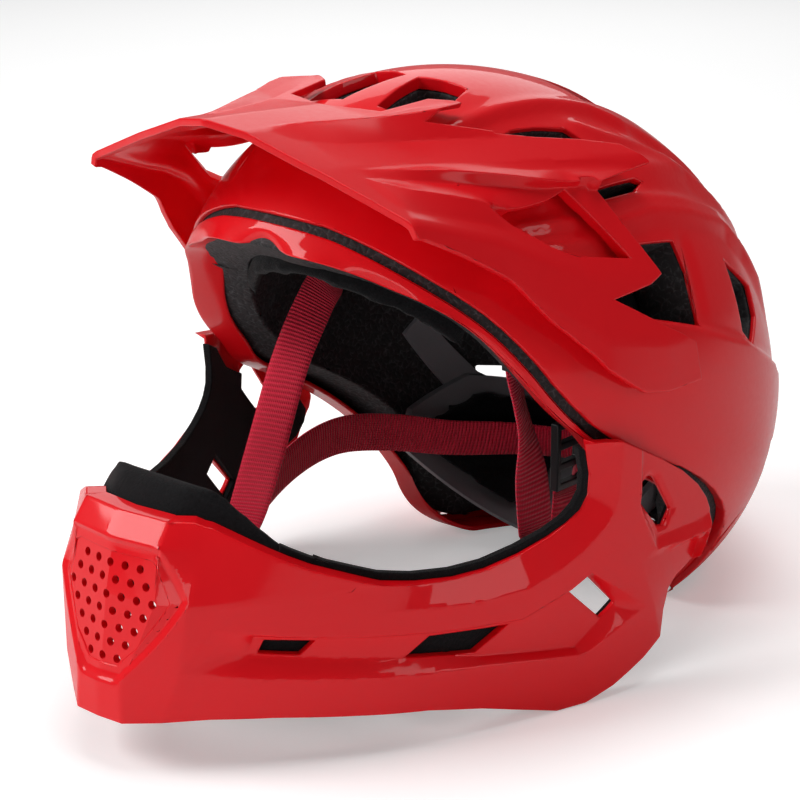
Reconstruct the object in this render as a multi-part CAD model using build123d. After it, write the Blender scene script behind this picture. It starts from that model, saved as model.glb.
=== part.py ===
from build123d import *
import math
import os

os.makedirs("parts", exist_ok=True)

# Downhill full face helmet, millimetres. The front points to -Y, +X is the wearer's left, +Z is up.
# The helmet stands on its two jaw corners and on the rim behind the neck.

# Skull shape: one tilted ellipsoid that the shell, the foam and the head space follow
SHELL_HALF_W = 99.0
SHELL_HALF_L = 140.0
SHELL_HALF_H = 104.0
SHELL_TILT_DEG = 30.0
SHELL_BACK_Y = 43.0
SHELL_CENTRE_Z = 96.0
SHELL_WALL = 2.0
RIM_WALL = 2.0
FOAM_DEPTH = 24.0
SKIN_GAP = 0.1
STRIP_H = 3.6
RIM_FLANGE = 2.4
NECK_HALF_W = 68.0
NECK_HALF_L = 86.0
NECK_Y = 34.0
NECK_H = 62.0

# Chin guard
CHIN_HALF_W = 103.0
CHIN_FRONT_Y = -161.5
CHIN_REAR_Y = 56.0
CHIN_H = 100.0
BAR_WALL = 7.0
EAR_WALL = 3.2
RECESS_DEPTH = 3.6
MOUTH_STEP = 2.0
MOUTH_WALL = 2.6
MOUTH_HALF_W = 31.0
MOUTH_Z = 59.0
MOUTH_HALF_H = 26.0
MOUTH_HOLE_R = 1.5
MOUTH_HOLE_PITCH = 6.4
LINING_GAP = 0.3
LINING_T = 3.0
CUSHION_T = 10.0
CUSHION_RISE = 10.0
CUSHION_SINK = 26.0

# Visor
VISOR_WALL = 2.6
VISOR_HALF_W = 102.5
VISOR_FRONT_Y = -104.0
VISOR_REAR_Y = 46.0
VISOR_BASE_Z = 108.0
VISOR_TOP_Z = 213.0
VISOR_SKIN_GAP = 0.5
STUD_R = 3.0
STUD_REACH = 1.3
STUD_Y = 24.0
STUD_Z = 118.0
STUD_GAP = 0.3
VISOR_TRAVEL = 40.0
VISOR_LIFT_DEG = 20.0

# Pads, straps and the head band
PAD_T = 6.0
PAD_GAP = 0.4
BAND_T = 1.6
CRADLE_T = 2.6
CRADLE_PAD_SHARE = 0.8
CRADLE_MID_Z = 38.0
HUB_T = 4.0
SEAT_GAP = 0.3
DIAL_R = 14.0
DIAL_T = 9.0
DIAL_CLEAR = 0.3
DIAL_SPINDLE_R = 3.0
DIAL_SPINDLE_CLEAR = 0.05
DIAL_GRIPS = 14
DIAL_GRIP_R = 1.6
WEB_W = 15.0
WEB_T = 1.4
BUCKLE_L = 28.0
BUCKLE_W = 20.0
BUCKLE_H = 8.0
BUCKLE_WALL = 2.0
PLUG_L = 12.0
PLUG_TONGUE = 13.0
PLUG_CLEAR = 0.3
DIVIDER_L = 26.0
DIVIDER_W = 15.0
DIVIDER_T = 6.0
CATCH_R = 2.8
OVERRUN = 5.0

FAR = 2 * (SHELL_HALF_L + SHELL_HALF_H)


def skull(grow):
    """The tilted ellipsoid, grown by this much on every side."""
    unit = Sphere(radius=1)
    shape = scale(unit, by=(SHELL_HALF_W + grow, SHELL_HALF_L + grow, SHELL_HALF_H + grow))
    return Pos(0, SHELL_BACK_Y, SHELL_CENTRE_Z) * (Rot(-SHELL_TILT_DEG, 0, 0) * shape)


def skull_y(share):
    return SHELL_BACK_Y + share * SHELL_HALF_L


def skull_z(share):
    return SHELL_CENTRE_Z + share * SHELL_HALF_H


def side_prism(points, x_from=-FAR, x_to=FAR):
    """A prism along X whose outline is given by (y, z) points."""
    outline = [(x_from, y, z) for y, z in points]
    face = make_face(Polyline(*outline, close=True))
    return extrude(face, amount=x_to - x_from, dir=(1, 0, 0))


def top_prism(points, z_from, z_to):
    """A prism along Z whose outline is given by (x, y) points."""
    outline = [(x, y, z_from) for x, y in points]
    face = make_face(Polyline(*outline, close=True))
    return extrude(face, amount=z_to - z_from, dir=(0, 0, 1))


def front_prism(points, y_from, y_to):
    """A prism along Y whose outline is given by (x, z) points."""
    outline = [(x, y_from, z) for x, z in points]
    face = make_face(Polyline(*outline, close=True))
    return extrude(face, amount=y_to - y_from, dir=(0, 1, 0))


def mirrored(points):
    return [(-first, second) for first, second in points]


# A drop square to a slanting edge moves it by this share along Y and along Z
DROP_SHARE = 0.7

# Lower edge of the upper shell from the brow to the ear and the neck, as shares (y, z) of the skull
SHELL_EDGE_SHARES = [
    (-1.02, 0.885), (-0.807, 0.779), (-0.700, 0.625), (-0.571, 0.442), (-0.450, 0.192), (-0.336, 0.029),
    (-0.200, -0.077), (0.014, -0.221), (0.179, -0.385), (0.264, -0.519), (0.307, -0.654),
    (0.300, -0.769), (0.293, -0.830), (0.290, -0.923),
]
# Lower edge of the rim shell, from the brow down the side of the face to the neck
RIM_EDGE_SHARES = [
    (-1.10, 0.69), (-0.857, 0.654), (-0.786, 0.558), (-0.714, 0.462), (-0.636, 0.365), (-0.543, 0.250),
    (-0.450, 0.106), (-0.364, 0.000), (-0.307, -0.096), (-0.164, -0.192), (0.014, -0.327), (0.136, -0.462),
    (0.200, -0.577), (0.236, -0.692), (0.207, -0.808), (0.164, -0.923),
]


def region_behind(edge_shares, drop=0.0, floor=0.0):
    """Everything above and behind an edge line, down to a level floor."""
    line = [(skull_y(y) - drop * DROP_SHARE, skull_z(z) - drop * DROP_SHARE) for y, z in edge_shares]
    line[-1] = (line[-1][0], floor)
    loop = [(-FAR, line[0][1])] + line + [(FAR, floor), (FAR, FAR), (-FAR, FAR)]
    return side_prism(loop)


# Vents: top ones as (x, y) shares, side ones as (y, z) shares, rear ones as (x, z) shares of the skull
TOP_VENT_SHARES = [
    [(0.07, -0.52), (0.25, -0.50), (0.27, -0.30), (0.20, -0.25), (0.07, -0.27)],
    [(0.46, -0.46), (0.60, -0.42), (0.60, -0.08), (0.53, -0.03), (0.47, -0.10)],
    [(0.67, -0.20), (0.74, -0.15), (0.71, 0.02), (0.66, 0.00)],
    [(0.10, 0.10), (0.32, 0.12), (0.30, 0.50), (0.10, 0.52)],
]
SIDE_VENT_SHARES = [
    [(-0.26, 0.47), (-0.10, 0.62), (0.04, 0.57), (0.06, 0.41), (0.065, 0.29), (-0.13, 0.37)],
    [(0.27, 0.45), (0.36, 0.33), (0.39, 0.19), (0.37, 0.12), (0.29, 0.17), (0.25, 0.30)],
]
REAR_VENT_SHARES = [
    [(0.15, 0.30), (0.45, 0.24), (0.42, 0.00), (0.15, 0.04)],
    [(0.58, -0.36), (0.80, -0.34), (0.76, -0.50), (0.62, -0.54)],
]


def vent_cutters():
    """All vent holes of both sides as separate prisms."""
    cutters = []
    for shares in TOP_VENT_SHARES:
        ring = [(x * SHELL_HALF_W, skull_y(y)) for x, y in shares]
        for side in (ring, mirrored(ring)):
            cutters.append(top_prism(side, SHELL_CENTRE_Z, FAR))
    for shares in SIDE_VENT_SHARES:
        ring = [(skull_y(y), skull_z(z)) for y, z in shares]
        half = SHELL_HALF_W / 2
        cutters.append(side_prism(ring, half, FAR))
        cutters.append(side_prism(ring, -FAR, -half))
    for shares in REAR_VENT_SHARES:
        ring = [(x * SHELL_HALF_W, skull_z(z)) for x, z in shares]
        for side in (ring, mirrored(ring)):
            cutters.append(front_prism(side, SHELL_BACK_Y + SHELL_HALF_L / 4, FAR))
    return cutters


def cut_all(body, cutters):
    for cutter in cutters:
        body = body - cutter
    return body


def stud_slots():
    """Grooves that let the visor studs out of the shell towards the front."""
    radius = STUD_R + STUD_GAP
    angle = math.radians(VISOR_LIFT_DEG)
    dy = -VISOR_TRAVEL * math.cos(angle)
    dz = VISOR_TRAVEL * math.sin(angle)
    floor_x = SHELL_HALF_W - SHELL_WALL
    slots = []
    for sign in (1, -1):
        start = Vector(sign * floor_x, STUD_Y, STUD_Z)
        hole = Cylinder(radius, FAR, align=(Align.CENTER, Align.CENTER, Align.MIN))
        hole = Pos(*start) * (Rot(0, sign * 90, 0) * hole)
        side = Vector(0, -dz, dy).normalized() * radius
        along = Vector(0, dy, dz)
        ring = [start + side, start - side, start - side + along, start + side + along]
        face = make_face(Polyline(*[tuple(p) for p in ring], close=True))
        slots.append(hole + extrude(face, amount=FAR, dir=(sign, 0, 0)))
    return slots


def neck_passage(grow=0.0):
    """Upright oval passage through which the head goes in."""
    oval = Ellipse(NECK_HALF_W + grow, NECK_HALF_L + grow)
    return Pos(0, NECK_Y, -OVERRUN) * extrude(oval, amount=NECK_H)


def outer_shell():
    skin = skull(0) - skull(-SHELL_WALL)
    skin = skin & region_behind(SHELL_EDGE_SHARES, 0, RIM_FLANGE + STRIP_H)
    return cut_all(skin, vent_cutters() + stud_slots())


def lower_shell():
    """Red rim below the foam strip: an outer band with a flange turned in under the foam."""
    keep = region_behind(RIM_EDGE_SHARES)
    band = keep - region_behind(SHELL_EDGE_SHARES, STRIP_H, RIM_FLANGE)
    flange = keep - region_behind(RIM_EDGE_SHARES, -RIM_FLANGE, RIM_FLANGE)
    outer = (skull(0) - skull(-RIM_WALL)) & band
    inner = (skull(-RIM_WALL) - skull(-FOAM_DEPTH + RIM_WALL)) & flange
    return outer + inner - neck_passage() - dial_pocket()


def eps_liner():
    floor = RIM_FLANGE + SKIN_GAP
    foam = skull(-SHELL_WALL - SKIN_GAP) - skull(-FOAM_DEPTH)
    foam = foam & region_behind(RIM_EDGE_SHARES, -floor, floor)
    return cut_all(foam, vent_cutters() + [neck_passage(SKIN_GAP), dial_pocket()])


# Plan outline of the chin guard at several heights: rows of (height share, [(x, y) shares]) from the middle
# of the nose round to the rear of the ear plate; x in half widths, y from the front to the rear end
CHIN_LEVEL_SHARES = [
    (-0.02, [
        (0, 0.030), (0.095, 0.030), (0.200, 0.060), (0.437, 0.184),
        (0.665, 0.345), (0.880, 0.598), (0.990, 0.800), (0.990, 1.0),
    ]),
    (0.18, [
        (0, 0.002), (0.107, 0.005), (0.214, 0.044), (0.456, 0.174),
        (0.690, 0.338), (0.893, 0.596), (0.994, 0.800), (0.994, 1.0),
    ]),
    (0.31, [
        (0, 0.002), (0.100, 0.007), (0.262, 0.054), (0.485, 0.177),
        (0.700, 0.340), (0.900, 0.596), (1.0, 0.800), (1.0, 1.0),
    ]),
    (0.61, [
        (0, 0.020), (0.204, 0.035), (0.301, 0.067), (0.500, 0.188),
        (0.715, 0.350), (0.905, 0.594), (1.0, 0.790), (1.0, 1.0),
    ]),
    (0.80, [
        (0, 0.040), (0.200, 0.052), (0.291, 0.103), (0.505, 0.209),
        (0.738, 0.366), (0.915, 0.603), (1.0, 0.785), (1.0, 1.0),
    ]),
    (1.06, [
        (0, 0.135), (0.180, 0.140), (0.262, 0.154), (0.485, 0.246),
        (0.748, 0.384), (0.920, 0.614), (1.0, 0.780), (1.0, 1.0),
    ]),
]
CHIN_LENGTH = CHIN_REAR_Y - CHIN_FRONT_Y
# How far the inner face lies in from each plan point: the bar is thick, the ear plate is a plain sheet
DEPTH_SHARES = [1.0, 1.0, 1.0, 1.0, 1.0, 0.85, 0.0, 0.0]


def chin_depths(extra, bar=BAR_WALL, ear=EAR_WALL):
    return [ear + (bar - ear) * share + extra for share in DEPTH_SHARES]


def inset_line(points, depths):
    """Move each point of an open plan line inwards along its mitre."""
    out = []
    count = len(points)
    for index, (x, y) in enumerate(points):
        before = points[max(index - 1, 0)]
        after = points[min(index + 1, count - 1)]
        if index == 0:
            before = (-after[0], after[1])
        normals = []
        for (ax, ay), (bx, by) in ((before, (x, y)), ((x, y), after)):
            run = math.hypot(bx - ax, by - ay)
            if run > 0:
                normals.append((-(by - ay) / run, (bx - ax) / run))
        nx = sum(n[0] for n in normals) / len(normals)
        ny = sum(n[1] for n in normals) / len(normals)
        square = nx * nx + ny * ny
        out.append((x + nx * depths[index] / square, y + ny * depths[index] / square))
    return out


def chin_solid(depths=None, rear_extra=0.0):
    """The full block inside the chin guard's outer face, or inside that face moved in by the depths."""
    sections = []
    for height, shares in CHIN_LEVEL_SHARES:
        line = [(x * CHIN_HALF_W, CHIN_FRONT_Y + y * CHIN_LENGTH) for x, y in shares]
        if depths is not None:
            line = inset_line(line, depths)
        line = line[:-1] + [(line[-1][0], line[-1][1] + rear_extra)]
        loop = line + [(-x, y) for x, y in reversed(line[1:])]
        z = height * CHIN_H
        sections.append(make_face(Polyline(*[(x, y, z) for x, y in loop], close=True)))
    return loft(sections, ruled=True)


# Side outline of the chin guard, (y, z) shares of its length and height: face opening, ear, lower edge
CHIN_SIDE_SHARES = [
    (-0.05, 0.875), (0.122, 0.868), (0.168, 0.810), (0.241, 0.700), (0.347, 0.605), (0.444, 0.580),
    (0.517, 0.580), (0.582, 0.630), (0.641, 0.710), (0.683, 0.795), (0.687, 0.870), (0.674, 1.000),
    (0.720, 0.970), (0.789, 0.895), (0.848, 0.835), (0.940, 0.705), (0.982, 0.580), (0.982, 0.520),
    (0.949, 0.420), (0.876, 0.350), (0.862, 0.280), (0.843, 0.160), (0.664, 0.0), (0.600, 0.015),
    (0.398, 0.120), (0.159, 0.190), (0.0, 0.175), (-0.05, 0.175),
]
SLIT_SHARES = [
    [(0.168, 0.47), (0.278, 0.41), (0.232, 0.32), (0.154, 0.39)],
    [(0.412, 0.39), (0.568, 0.38), (0.499, 0.24), (0.370, 0.28)],
]
REAR_SLOT_SHARES = [(0.646, 0.46), (0.683, 0.50), (0.733, 0.38), (0.715, 0.31)]
EAR_HOLE_SHARES = [
    (0.816, 0.800), (0.802, 0.780), (0.798, 0.710), (0.843, 0.580), (0.867, 0.600), (0.867, 0.650),
]
RECESS_SHARES = [
    (0.103, 0.52), (0.168, 0.48), (0.255, 0.43), (0.370, 0.41), (0.536, 0.39), (0.641, 0.46), (0.678, 0.50),
    (0.812, 0.30), (0.669, 0.19), (0.480, 0.24), (0.375, 0.27), (0.227, 0.33), (0.131, 0.37), (0.057, 0.37),
]
# Half of the mouth vent's frame, (x, z) shares of its half width and half height
MOUTH_SHARES = [(0.0, 0.81), (0.68, 0.81), (1.0, 0.08), (0.30, -1.08), (0.0, -1.08)]


def chin_side(shares, x_from=-FAR, x_to=FAR):
    points = [(CHIN_FRONT_Y + y * CHIN_LENGTH, z * CHIN_H) for y, z in shares]
    return side_prism(points, x_from, x_to)


def mouth_prism(size, y_to):
    half = [(x * MOUTH_HALF_W * size, MOUTH_Z + z * MOUTH_HALF_H * size) for x, z in MOUTH_SHARES]
    ring = half[1:-1] + [(-x, z) for x, z in reversed(half[1:-1])]
    return front_prism(ring, CHIN_FRONT_Y - OVERRUN, y_to)


MOUTH_BACK_Y = CHIN_FRONT_Y + CHIN_LENGTH / 6
MOUTH_INNER_SHARE = 0.84


def chin_guard():
    wall = chin_solid() - chin_solid(chin_depths(0), OVERRUN)
    wall = wall & chin_side(CHIN_SIDE_SHARES)
    groove = chin_solid() - chin_solid(chin_depths(0, RECESS_DEPTH, 0), OVERRUN)
    for limits in ((CHIN_HALF_W / 4, FAR), (-FAR, -CHIN_HALF_W / 4)):
        wall = wall - (groove & chin_side(RECESS_SHARES, *limits))
        for shares in SLIT_SHARES + [REAR_SLOT_SHARES, EAR_HOLE_SHARES]:
            wall = wall - chin_side(shares, *limits)
    step = chin_solid() - chin_solid(chin_depths(0, MOUTH_STEP, MOUTH_STEP), OVERRUN)
    wall = wall - (step & mouth_prism(1.0, MOUTH_BACK_Y))
    wall = wall - mouth_prism(MOUTH_INNER_SHARE, MOUTH_BACK_Y)
    return wall + [catch_boss(sign) for sign in (1, -1)]


# Perforation of the mouth vent: outline of the holed field as shares of the frame's half height and half
# width, then the spacing of the rows, the margin and the top row as shares of the pitch or the hole radius
FIELD_TOP_SHARE = 0.81
FIELD_CORNER_SHARE = 0.08
FIELD_UP_SHARE = 0.44
FIELD_DOWN_SHARE = 0.60
HOLE_ROW_SHARE = 0.84
HOLE_TOP_SHARE = 0.8
HOLE_MARGIN_SHARE = 2.2


def field_reach(z):
    """How far from the middle the vent holes may lie at this height."""
    share = (z - MOUTH_Z) / MOUTH_HALF_H - FIELD_CORNER_SHARE
    slope = -FIELD_UP_SHARE if share > 0 else FIELD_DOWN_SHARE
    half = (1 + share * slope) * MOUTH_HALF_W * MOUTH_INNER_SHARE
    return half - MOUTH_HOLE_R * HOLE_MARGIN_SHARE


def vent_holes():
    """Centres (x, z) of the vent holes, every other row moved by half a pitch."""
    field_top = MOUTH_Z + MOUTH_HALF_H * MOUTH_INNER_SHARE * FIELD_TOP_SHARE
    centres = []
    for row in range(int(2 * MOUTH_HALF_H / MOUTH_HOLE_PITCH)):
        z = field_top - MOUTH_HOLE_PITCH * (HOLE_TOP_SHARE + row * HOLE_ROW_SHARE)
        x = (row % 2) * MOUTH_HOLE_PITCH / 2
        while x <= field_reach(z):
            centres += [(x, z), (-x, z)] if x > 0 else [(x, z)]
            x += MOUTH_HOLE_PITCH
    return centres


def mouth_vent():
    """Perforated insert of the mouth opening."""
    outer = chin_solid(chin_depths(0, MOUTH_STEP, MOUTH_STEP), OVERRUN)
    inner = chin_solid(chin_depths(0, MOUTH_STEP + MOUTH_WALL, MOUTH_STEP + MOUTH_WALL), OVERRUN)
    margin = SKIN_GAP / MOUTH_HALF_H
    plate = (outer - inner) & mouth_prism(MOUTH_INNER_SHARE - margin, MOUTH_BACK_Y)
    tool = Cylinder(MOUTH_HOLE_R, CHIN_LENGTH / 4, rotation=(90, 0, 0))
    drills = [Pos(x, CHIN_FRONT_Y, z) * tool for x, z in vent_holes()]
    return plate - drills


# Where the felt starts above and below the cushion, and the height of the step between, as shares
FELT_TOP_SHARE = 0.25
FELT_LOW_SHARE = 0.12
FELT_STEP_SHARE = 0.56


def chin_lining():
    """Thin felt that lines the inside of the bar and of both ear plates."""
    outer = chin_solid(chin_depths(LINING_GAP), OVERRUN)
    inner = chin_solid(chin_depths(LINING_GAP + LINING_T), OVERRUN * 2)
    felt = (outer - inner) & chin_side(CHIN_SIDE_SHARES)
    keep_y = CHIN_FRONT_Y + CHIN_LENGTH * FELT_TOP_SHARE
    low_y = CHIN_FRONT_Y + CHIN_LENGTH * FELT_LOW_SHARE
    step_z = CHIN_H * FELT_STEP_SHARE
    outline = [(low_y, 0), (FAR, 0), (FAR, FAR), (keep_y, FAR), (keep_y, step_z), (low_y, step_z)]
    felt = felt & side_prism(outline)
    felt = felt - region_behind(RIM_EDGE_SHARES, STRIP_H)
    for limits in ((CHIN_HALF_W / 4, FAR), (-FAR, -CHIN_HALF_W / 4)):
        for shares in (REAR_SLOT_SHARES, EAR_HOLE_SHARES):
            felt = felt - chin_side(shares, *limits)
    return cut_all(felt, [catch_hole(sign) for sign in (1, -1)])


# Side outline of the cushion: its top, tip and heel as shares of the chin guard's height and length
CUSHION_TOP_SHARE = 0.87
CUSHION_TIP_SHARE = 0.70
CUSHION_FRONT_SHARE = 0.17
CUSHION_HEEL_SHARE = 0.15


def chin_cushion():
    """Thick pad behind the top of the bar, standing above its edge."""
    outer = chin_solid(chin_depths(LINING_GAP), OVERRUN)
    inner = chin_solid(chin_depths(LINING_GAP + CUSHION_T), OVERRUN)
    nose_y = CHIN_FRONT_Y - OVERRUN
    front_y = CHIN_FRONT_Y + CHIN_LENGTH * CUSHION_FRONT_SHARE
    heel_y = CHIN_FRONT_Y + CHIN_LENGTH * CUSHION_HEEL_SHARE
    rear_y = CHIN_FRONT_Y + CHIN_LENGTH * FELT_TOP_SHARE - LINING_GAP
    top_z = CHIN_H * CUSHION_TOP_SHARE
    tip_z = CHIN_H * CUSHION_TIP_SHARE
    outline = [
        (nose_y, top_z + CUSHION_RISE), (front_y, top_z + CUSHION_RISE), (rear_y, tip_z),
        (rear_y, tip_z - CUSHION_SINK / 2), (heel_y, top_z - CUSHION_SINK), (nose_y, top_z - CUSHION_SINK),
    ]
    return (outer - inner) & side_prism(outline)


# Catch boss behind the ear hole
CATCH_Y_SHARE = 0.885
CATCH_Z_SHARE = 0.735


def catch_hole(sign, radius=CATCH_R + LINING_GAP):
    y = CHIN_FRONT_Y + CATCH_Y_SHARE * CHIN_LENGTH
    pin = Cylinder(radius, CHIN_HALF_W / 4, rotation=(0, 90, 0))
    return Pos(sign * CHIN_HALF_W, y, CATCH_Z_SHARE * CHIN_H) * pin


def catch_boss(sign):
    """Boss inside each ear plate that seats the chin guard against the rim shell."""
    pin = catch_hole(sign, CATCH_R) & chin_solid(chin_depths(EAR_WALL / 2, EAR_WALL, 0), OVERRUN)
    return pin - skull(SEAT_GAP)


# Visor cross-sections from front to rear: (y share of the visor's length, half section as (x, z) shares)
VISOR_SECTION_SHARES = [
    (-0.02, [(0, 1.0), (0.14, 0.976), (0.41, 0.876), (0.71, 0.757), (0.735, 0.724), (0.745, 0.60)]),
    (0.16, [(0, 0.981), (0.16, 0.957), (0.42, 0.867), (0.725, 0.743), (0.755, 0.667), (0.765, 0.56)]),
    (0.39, [(0, 0.952), (0.235, 0.938), (0.51, 0.829), (0.780, 0.629), (0.820, 0.495), (0.835, 0.38)]),
    (0.63, [(0, 0.990), (0.322, 0.952), (0.615, 0.790), (0.865, 0.457), (0.955, 0.257), (0.985, 0.09)]),
    (0.83, [(0, 1.0), (0.341, 0.957), (0.673, 0.762), (0.900, 0.400), (0.985, 0.190), (1.0, 0.02)]),
    (1.02, [(0, 0.990), (0.351, 0.943), (0.722, 0.724), (0.895, 0.400), (0.985, 0.171), (1.0, 0.0)]),
]
# What the visor keeps, seen from the side as (y, z) and from above as (x, y) shares
VISOR_SIDE_SHARES = [
    (-0.1, 1.2), (-0.1, 0.72), (0.133, 0.715), (0.400, 0.505), (0.487, 0.362), (0.707, 0.076), (0.747, 0.019),
    (0.960, 0.029), (0.940, 0.162), (0.720, 0.352), (0.853, 0.410), (0.733, 0.714), (1.013, 0.724),
    (1.013, 1.2),
]
VISOR_PLAN_SHARES = [
    (0.0, 0.003), (0.70, 0.130), (1.1, 0.16), (1.1, 1.1), (0.78, 1.1), (0.72, 0.993), (0.644, 0.927),
    (0.332, 0.460), (0.322, 0.627), (0.234, 0.573), (0.215, 0.433), (0.0, 0.380),
]
KITE_INNER_SHARE = 0.5
KITE_SHARES = [(0.453, 0.686), (0.673, 0.705), (0.760, 0.486), (0.560, 0.562)]


def visor_x(share):
    return share * VISOR_HALF_W


def visor_y(share):
    return VISOR_FRONT_Y + share * (VISOR_REAR_Y - VISOR_FRONT_Y)


def visor_z(share):
    return VISOR_BASE_Z + share * (VISOR_TOP_Z - VISOR_BASE_Z)


def visor_block(depth):
    """The full block under the visor's top face, or under that face moved in by the depth."""
    sections = []
    for y_share, shares in VISOR_SECTION_SHARES:
        half = [(visor_x(x), visor_z(z)) for x, z in shares]
        if depth > 0:
            half = inset_line(half, [-depth] * len(half))
        loop = half + [(-x, z) for x, z in reversed(half[1:])]
        y = visor_y(y_share)
        sections.append(make_face(Polyline(*[(x, y, z) for x, z in loop], close=True)))
    return loft(sections, ruled=True)


def visor():
    plate = visor_block(0) - visor_block(VISOR_WALL)
    plate = plate & side_prism([(visor_y(y), visor_z(z)) for y, z in VISOR_SIDE_SHARES])
    half = [(visor_x(x), visor_y(y)) for x, y in VISOR_PLAN_SHARES]
    ring = half + mirrored(reversed(half[1:-1]))
    plate = plate & top_prism(ring, 0, FAR)
    kite = [(visor_y(y), visor_z(z)) for y, z in KITE_SHARES]
    for limits in ((visor_x(KITE_INNER_SHARE), FAR), (-FAR, -visor_x(KITE_INNER_SHARE))):
        plate = plate - side_prism(kite, *limits)
    return plate - skull(VISOR_SKIN_GAP)


def visor_studs():
    """Two blunt snap studs that hold the visor's arms to the shell."""
    studs = []
    for sign in (1, -1):
        inner = sign * (SHELL_HALF_W - STUD_REACH)
        low_x, high_x = sorted((inner, sign * CHIN_HALF_W))
        stud = Cylinder(STUD_R, high_x - low_x, rotation=(0, 90, 0))
        stud = Pos((low_x + high_x) / 2, STUD_Y, STUD_Z) * stud
        studs.append(stud & visor_block(VISOR_WALL + SKIN_GAP))
    return Compound(children=studs)


# The straps' stations: a point of the middle line and the direction of the width
def ribbon(stations, start=None, end=None):
    """A flat strap as a loft through turned rectangles; start and end turn its two end faces."""
    sections = []
    count = len(stations)
    for index, (point, across) in enumerate(stations):
        before = Vector(stations[max(index - 1, 0)][0])
        after = Vector(stations[min(index + 1, count - 1)][0])
        tangent = (after - before).normalized()
        if index == 0 and start is not None:
            tangent = Vector(start)
        if index == count - 1 and end is not None:
            tangent = Vector(end)
        spread = Vector(across)
        spread = (spread - tangent * spread.dot(tangent)).normalized()
        plane = Plane(origin=point, x_dir=tuple(spread), z_dir=tuple(tangent))
        sections.append(plane * Rectangle(WEB_W, WEB_T))
    return loft(sections, ruled=True)


def lining_layer(depth, thick):
    """A layer inside the head space, this deep under the skull and this thick."""
    return skull(-FOAM_DEPTH - depth) - skull(-FOAM_DEPTH - depth - thick)


def box_between(low, high):
    size = [b - a for a, b in zip(low, high)]
    return Pos(*low) * Box(*size, align=(Align.MIN, Align.MIN, Align.MIN))


def skull_point(shares):
    x, y, z = shares
    return (x * SHELL_HALF_W, skull_y(y), skull_z(z))


# Low and high corners of each pad's block, as shares of the skull from its centre
BROW_PAD_SHARES = ((-0.52, -0.95, 0.20), (0.52, -0.20, 0.66))
CROWN_PAD_SHARES = ((-0.13, -0.30, 0.30), (0.13, 0.60, 1.0))
SIDE_PAD_SHARES = ((0.30, -0.04, 0.10), (1.0, 0.30, 0.38))


def head_pad(shares, sign=1):
    low, high = [skull_point(corner) for corner in shares]
    if sign < 0:
        low, high = (-high[0], low[1], low[2]), (-low[0], high[1], high[2])
    pad = lining_layer(PAD_GAP, PAD_T) & box_between(low, high)
    pad = pad & region_behind(RIM_EDGE_SHARES, -RIM_FLANGE * 2)
    return pad


# The head band's arms run along the foam beside the lowest windows down to the cradle, (y, z)
# shares of the skull
ARM_SHARES = [(0.24, -0.12), (0.30, -0.05), (0.46, -0.32), (0.66, -0.50), (0.60, -0.60), (0.38, -0.40)]
CRADLE_SHARES = [(0.12, -0.52), (0.20, -0.40), (0.42, -0.32), (0.75, -0.42), (0.75, -0.74), (0.30, -0.84)]


def side_outline(shares):
    return [(skull_y(y), skull_z(z)) for y, z in shares]


def band_arm(sign):
    arm = lining_layer(PAD_GAP, BAND_T) & side_prism(side_outline(ARM_SHARES))
    keep = (0, FAR) if sign > 0 else (-FAR, 0)
    half = side_prism([(-FAR, 0), (FAR, 0), (FAR, FAR), (-FAR, FAR)], *keep)
    return arm & half


def skull_rear_y(z, grow):
    """Rear surface of the grown skull at this height in the middle plane."""
    tilt = math.radians(SHELL_TILT_DEG)
    half_l = SHELL_HALF_L + grow
    half_h = SHELL_HALF_H + grow
    up = z - SHELL_CENTRE_Z
    cos_t = math.cos(tilt)
    sin_t = math.sin(tilt)
    square = (cos_t / half_l) ** 2 + (sin_t / half_h) ** 2
    cross = 2 * up * sin_t * cos_t * (1 / half_h ** 2 - 1 / half_l ** 2)
    rest = (up * sin_t / half_l) ** 2 + (up * cos_t / half_h) ** 2 - 1
    return SHELL_BACK_Y + (-cross + math.sqrt(cross ** 2 - 4 * square * rest)) / (2 * square)


CRADLE_REAR_Y = skull_rear_y(CRADLE_MID_Z, -FOAM_DEPTH - 2 * PAD_GAP - BAND_T)


def dial_disc(radius, y_from, y_to):
    """A disc on the dial's axis between two places along Y."""
    disc = Cylinder(radius, y_to - y_from, align=(Align.CENTER, Align.CENTER, Align.MIN))
    return Pos(0, y_from, CRADLE_MID_Z) * (Rot(-90, 0, 0) * disc)


DIAL_FRONT_Y = CRADLE_REAR_Y + HUB_T / 2 + DIAL_CLEAR
DIAL_REAR_Y = DIAL_FRONT_Y + DIAL_T


def cradle():
    """Grey cradle behind the neck with the flat hub that carries the dial."""
    depth = 2 * PAD_GAP + BAND_T
    band = lining_layer(depth, CRADLE_T) & side_prism(side_outline(CRADLE_SHARES))
    band = band - dial_disc(DIAL_R + DIAL_CLEAR * 2, CRADLE_REAR_Y - HUB_T / 2, FAR)
    band = band + dial_disc(DIAL_R, CRADLE_REAR_Y - HUB_T / 2, CRADLE_REAR_Y + HUB_T / 2)
    band = band - dial_disc(DIAL_SPINDLE_R * 2 + DIAL_CLEAR, 0, CRADLE_REAR_Y - HUB_T / 2)
    return band - dial_disc(DIAL_SPINDLE_R + DIAL_SPINDLE_CLEAR, 0, FAR)


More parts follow.
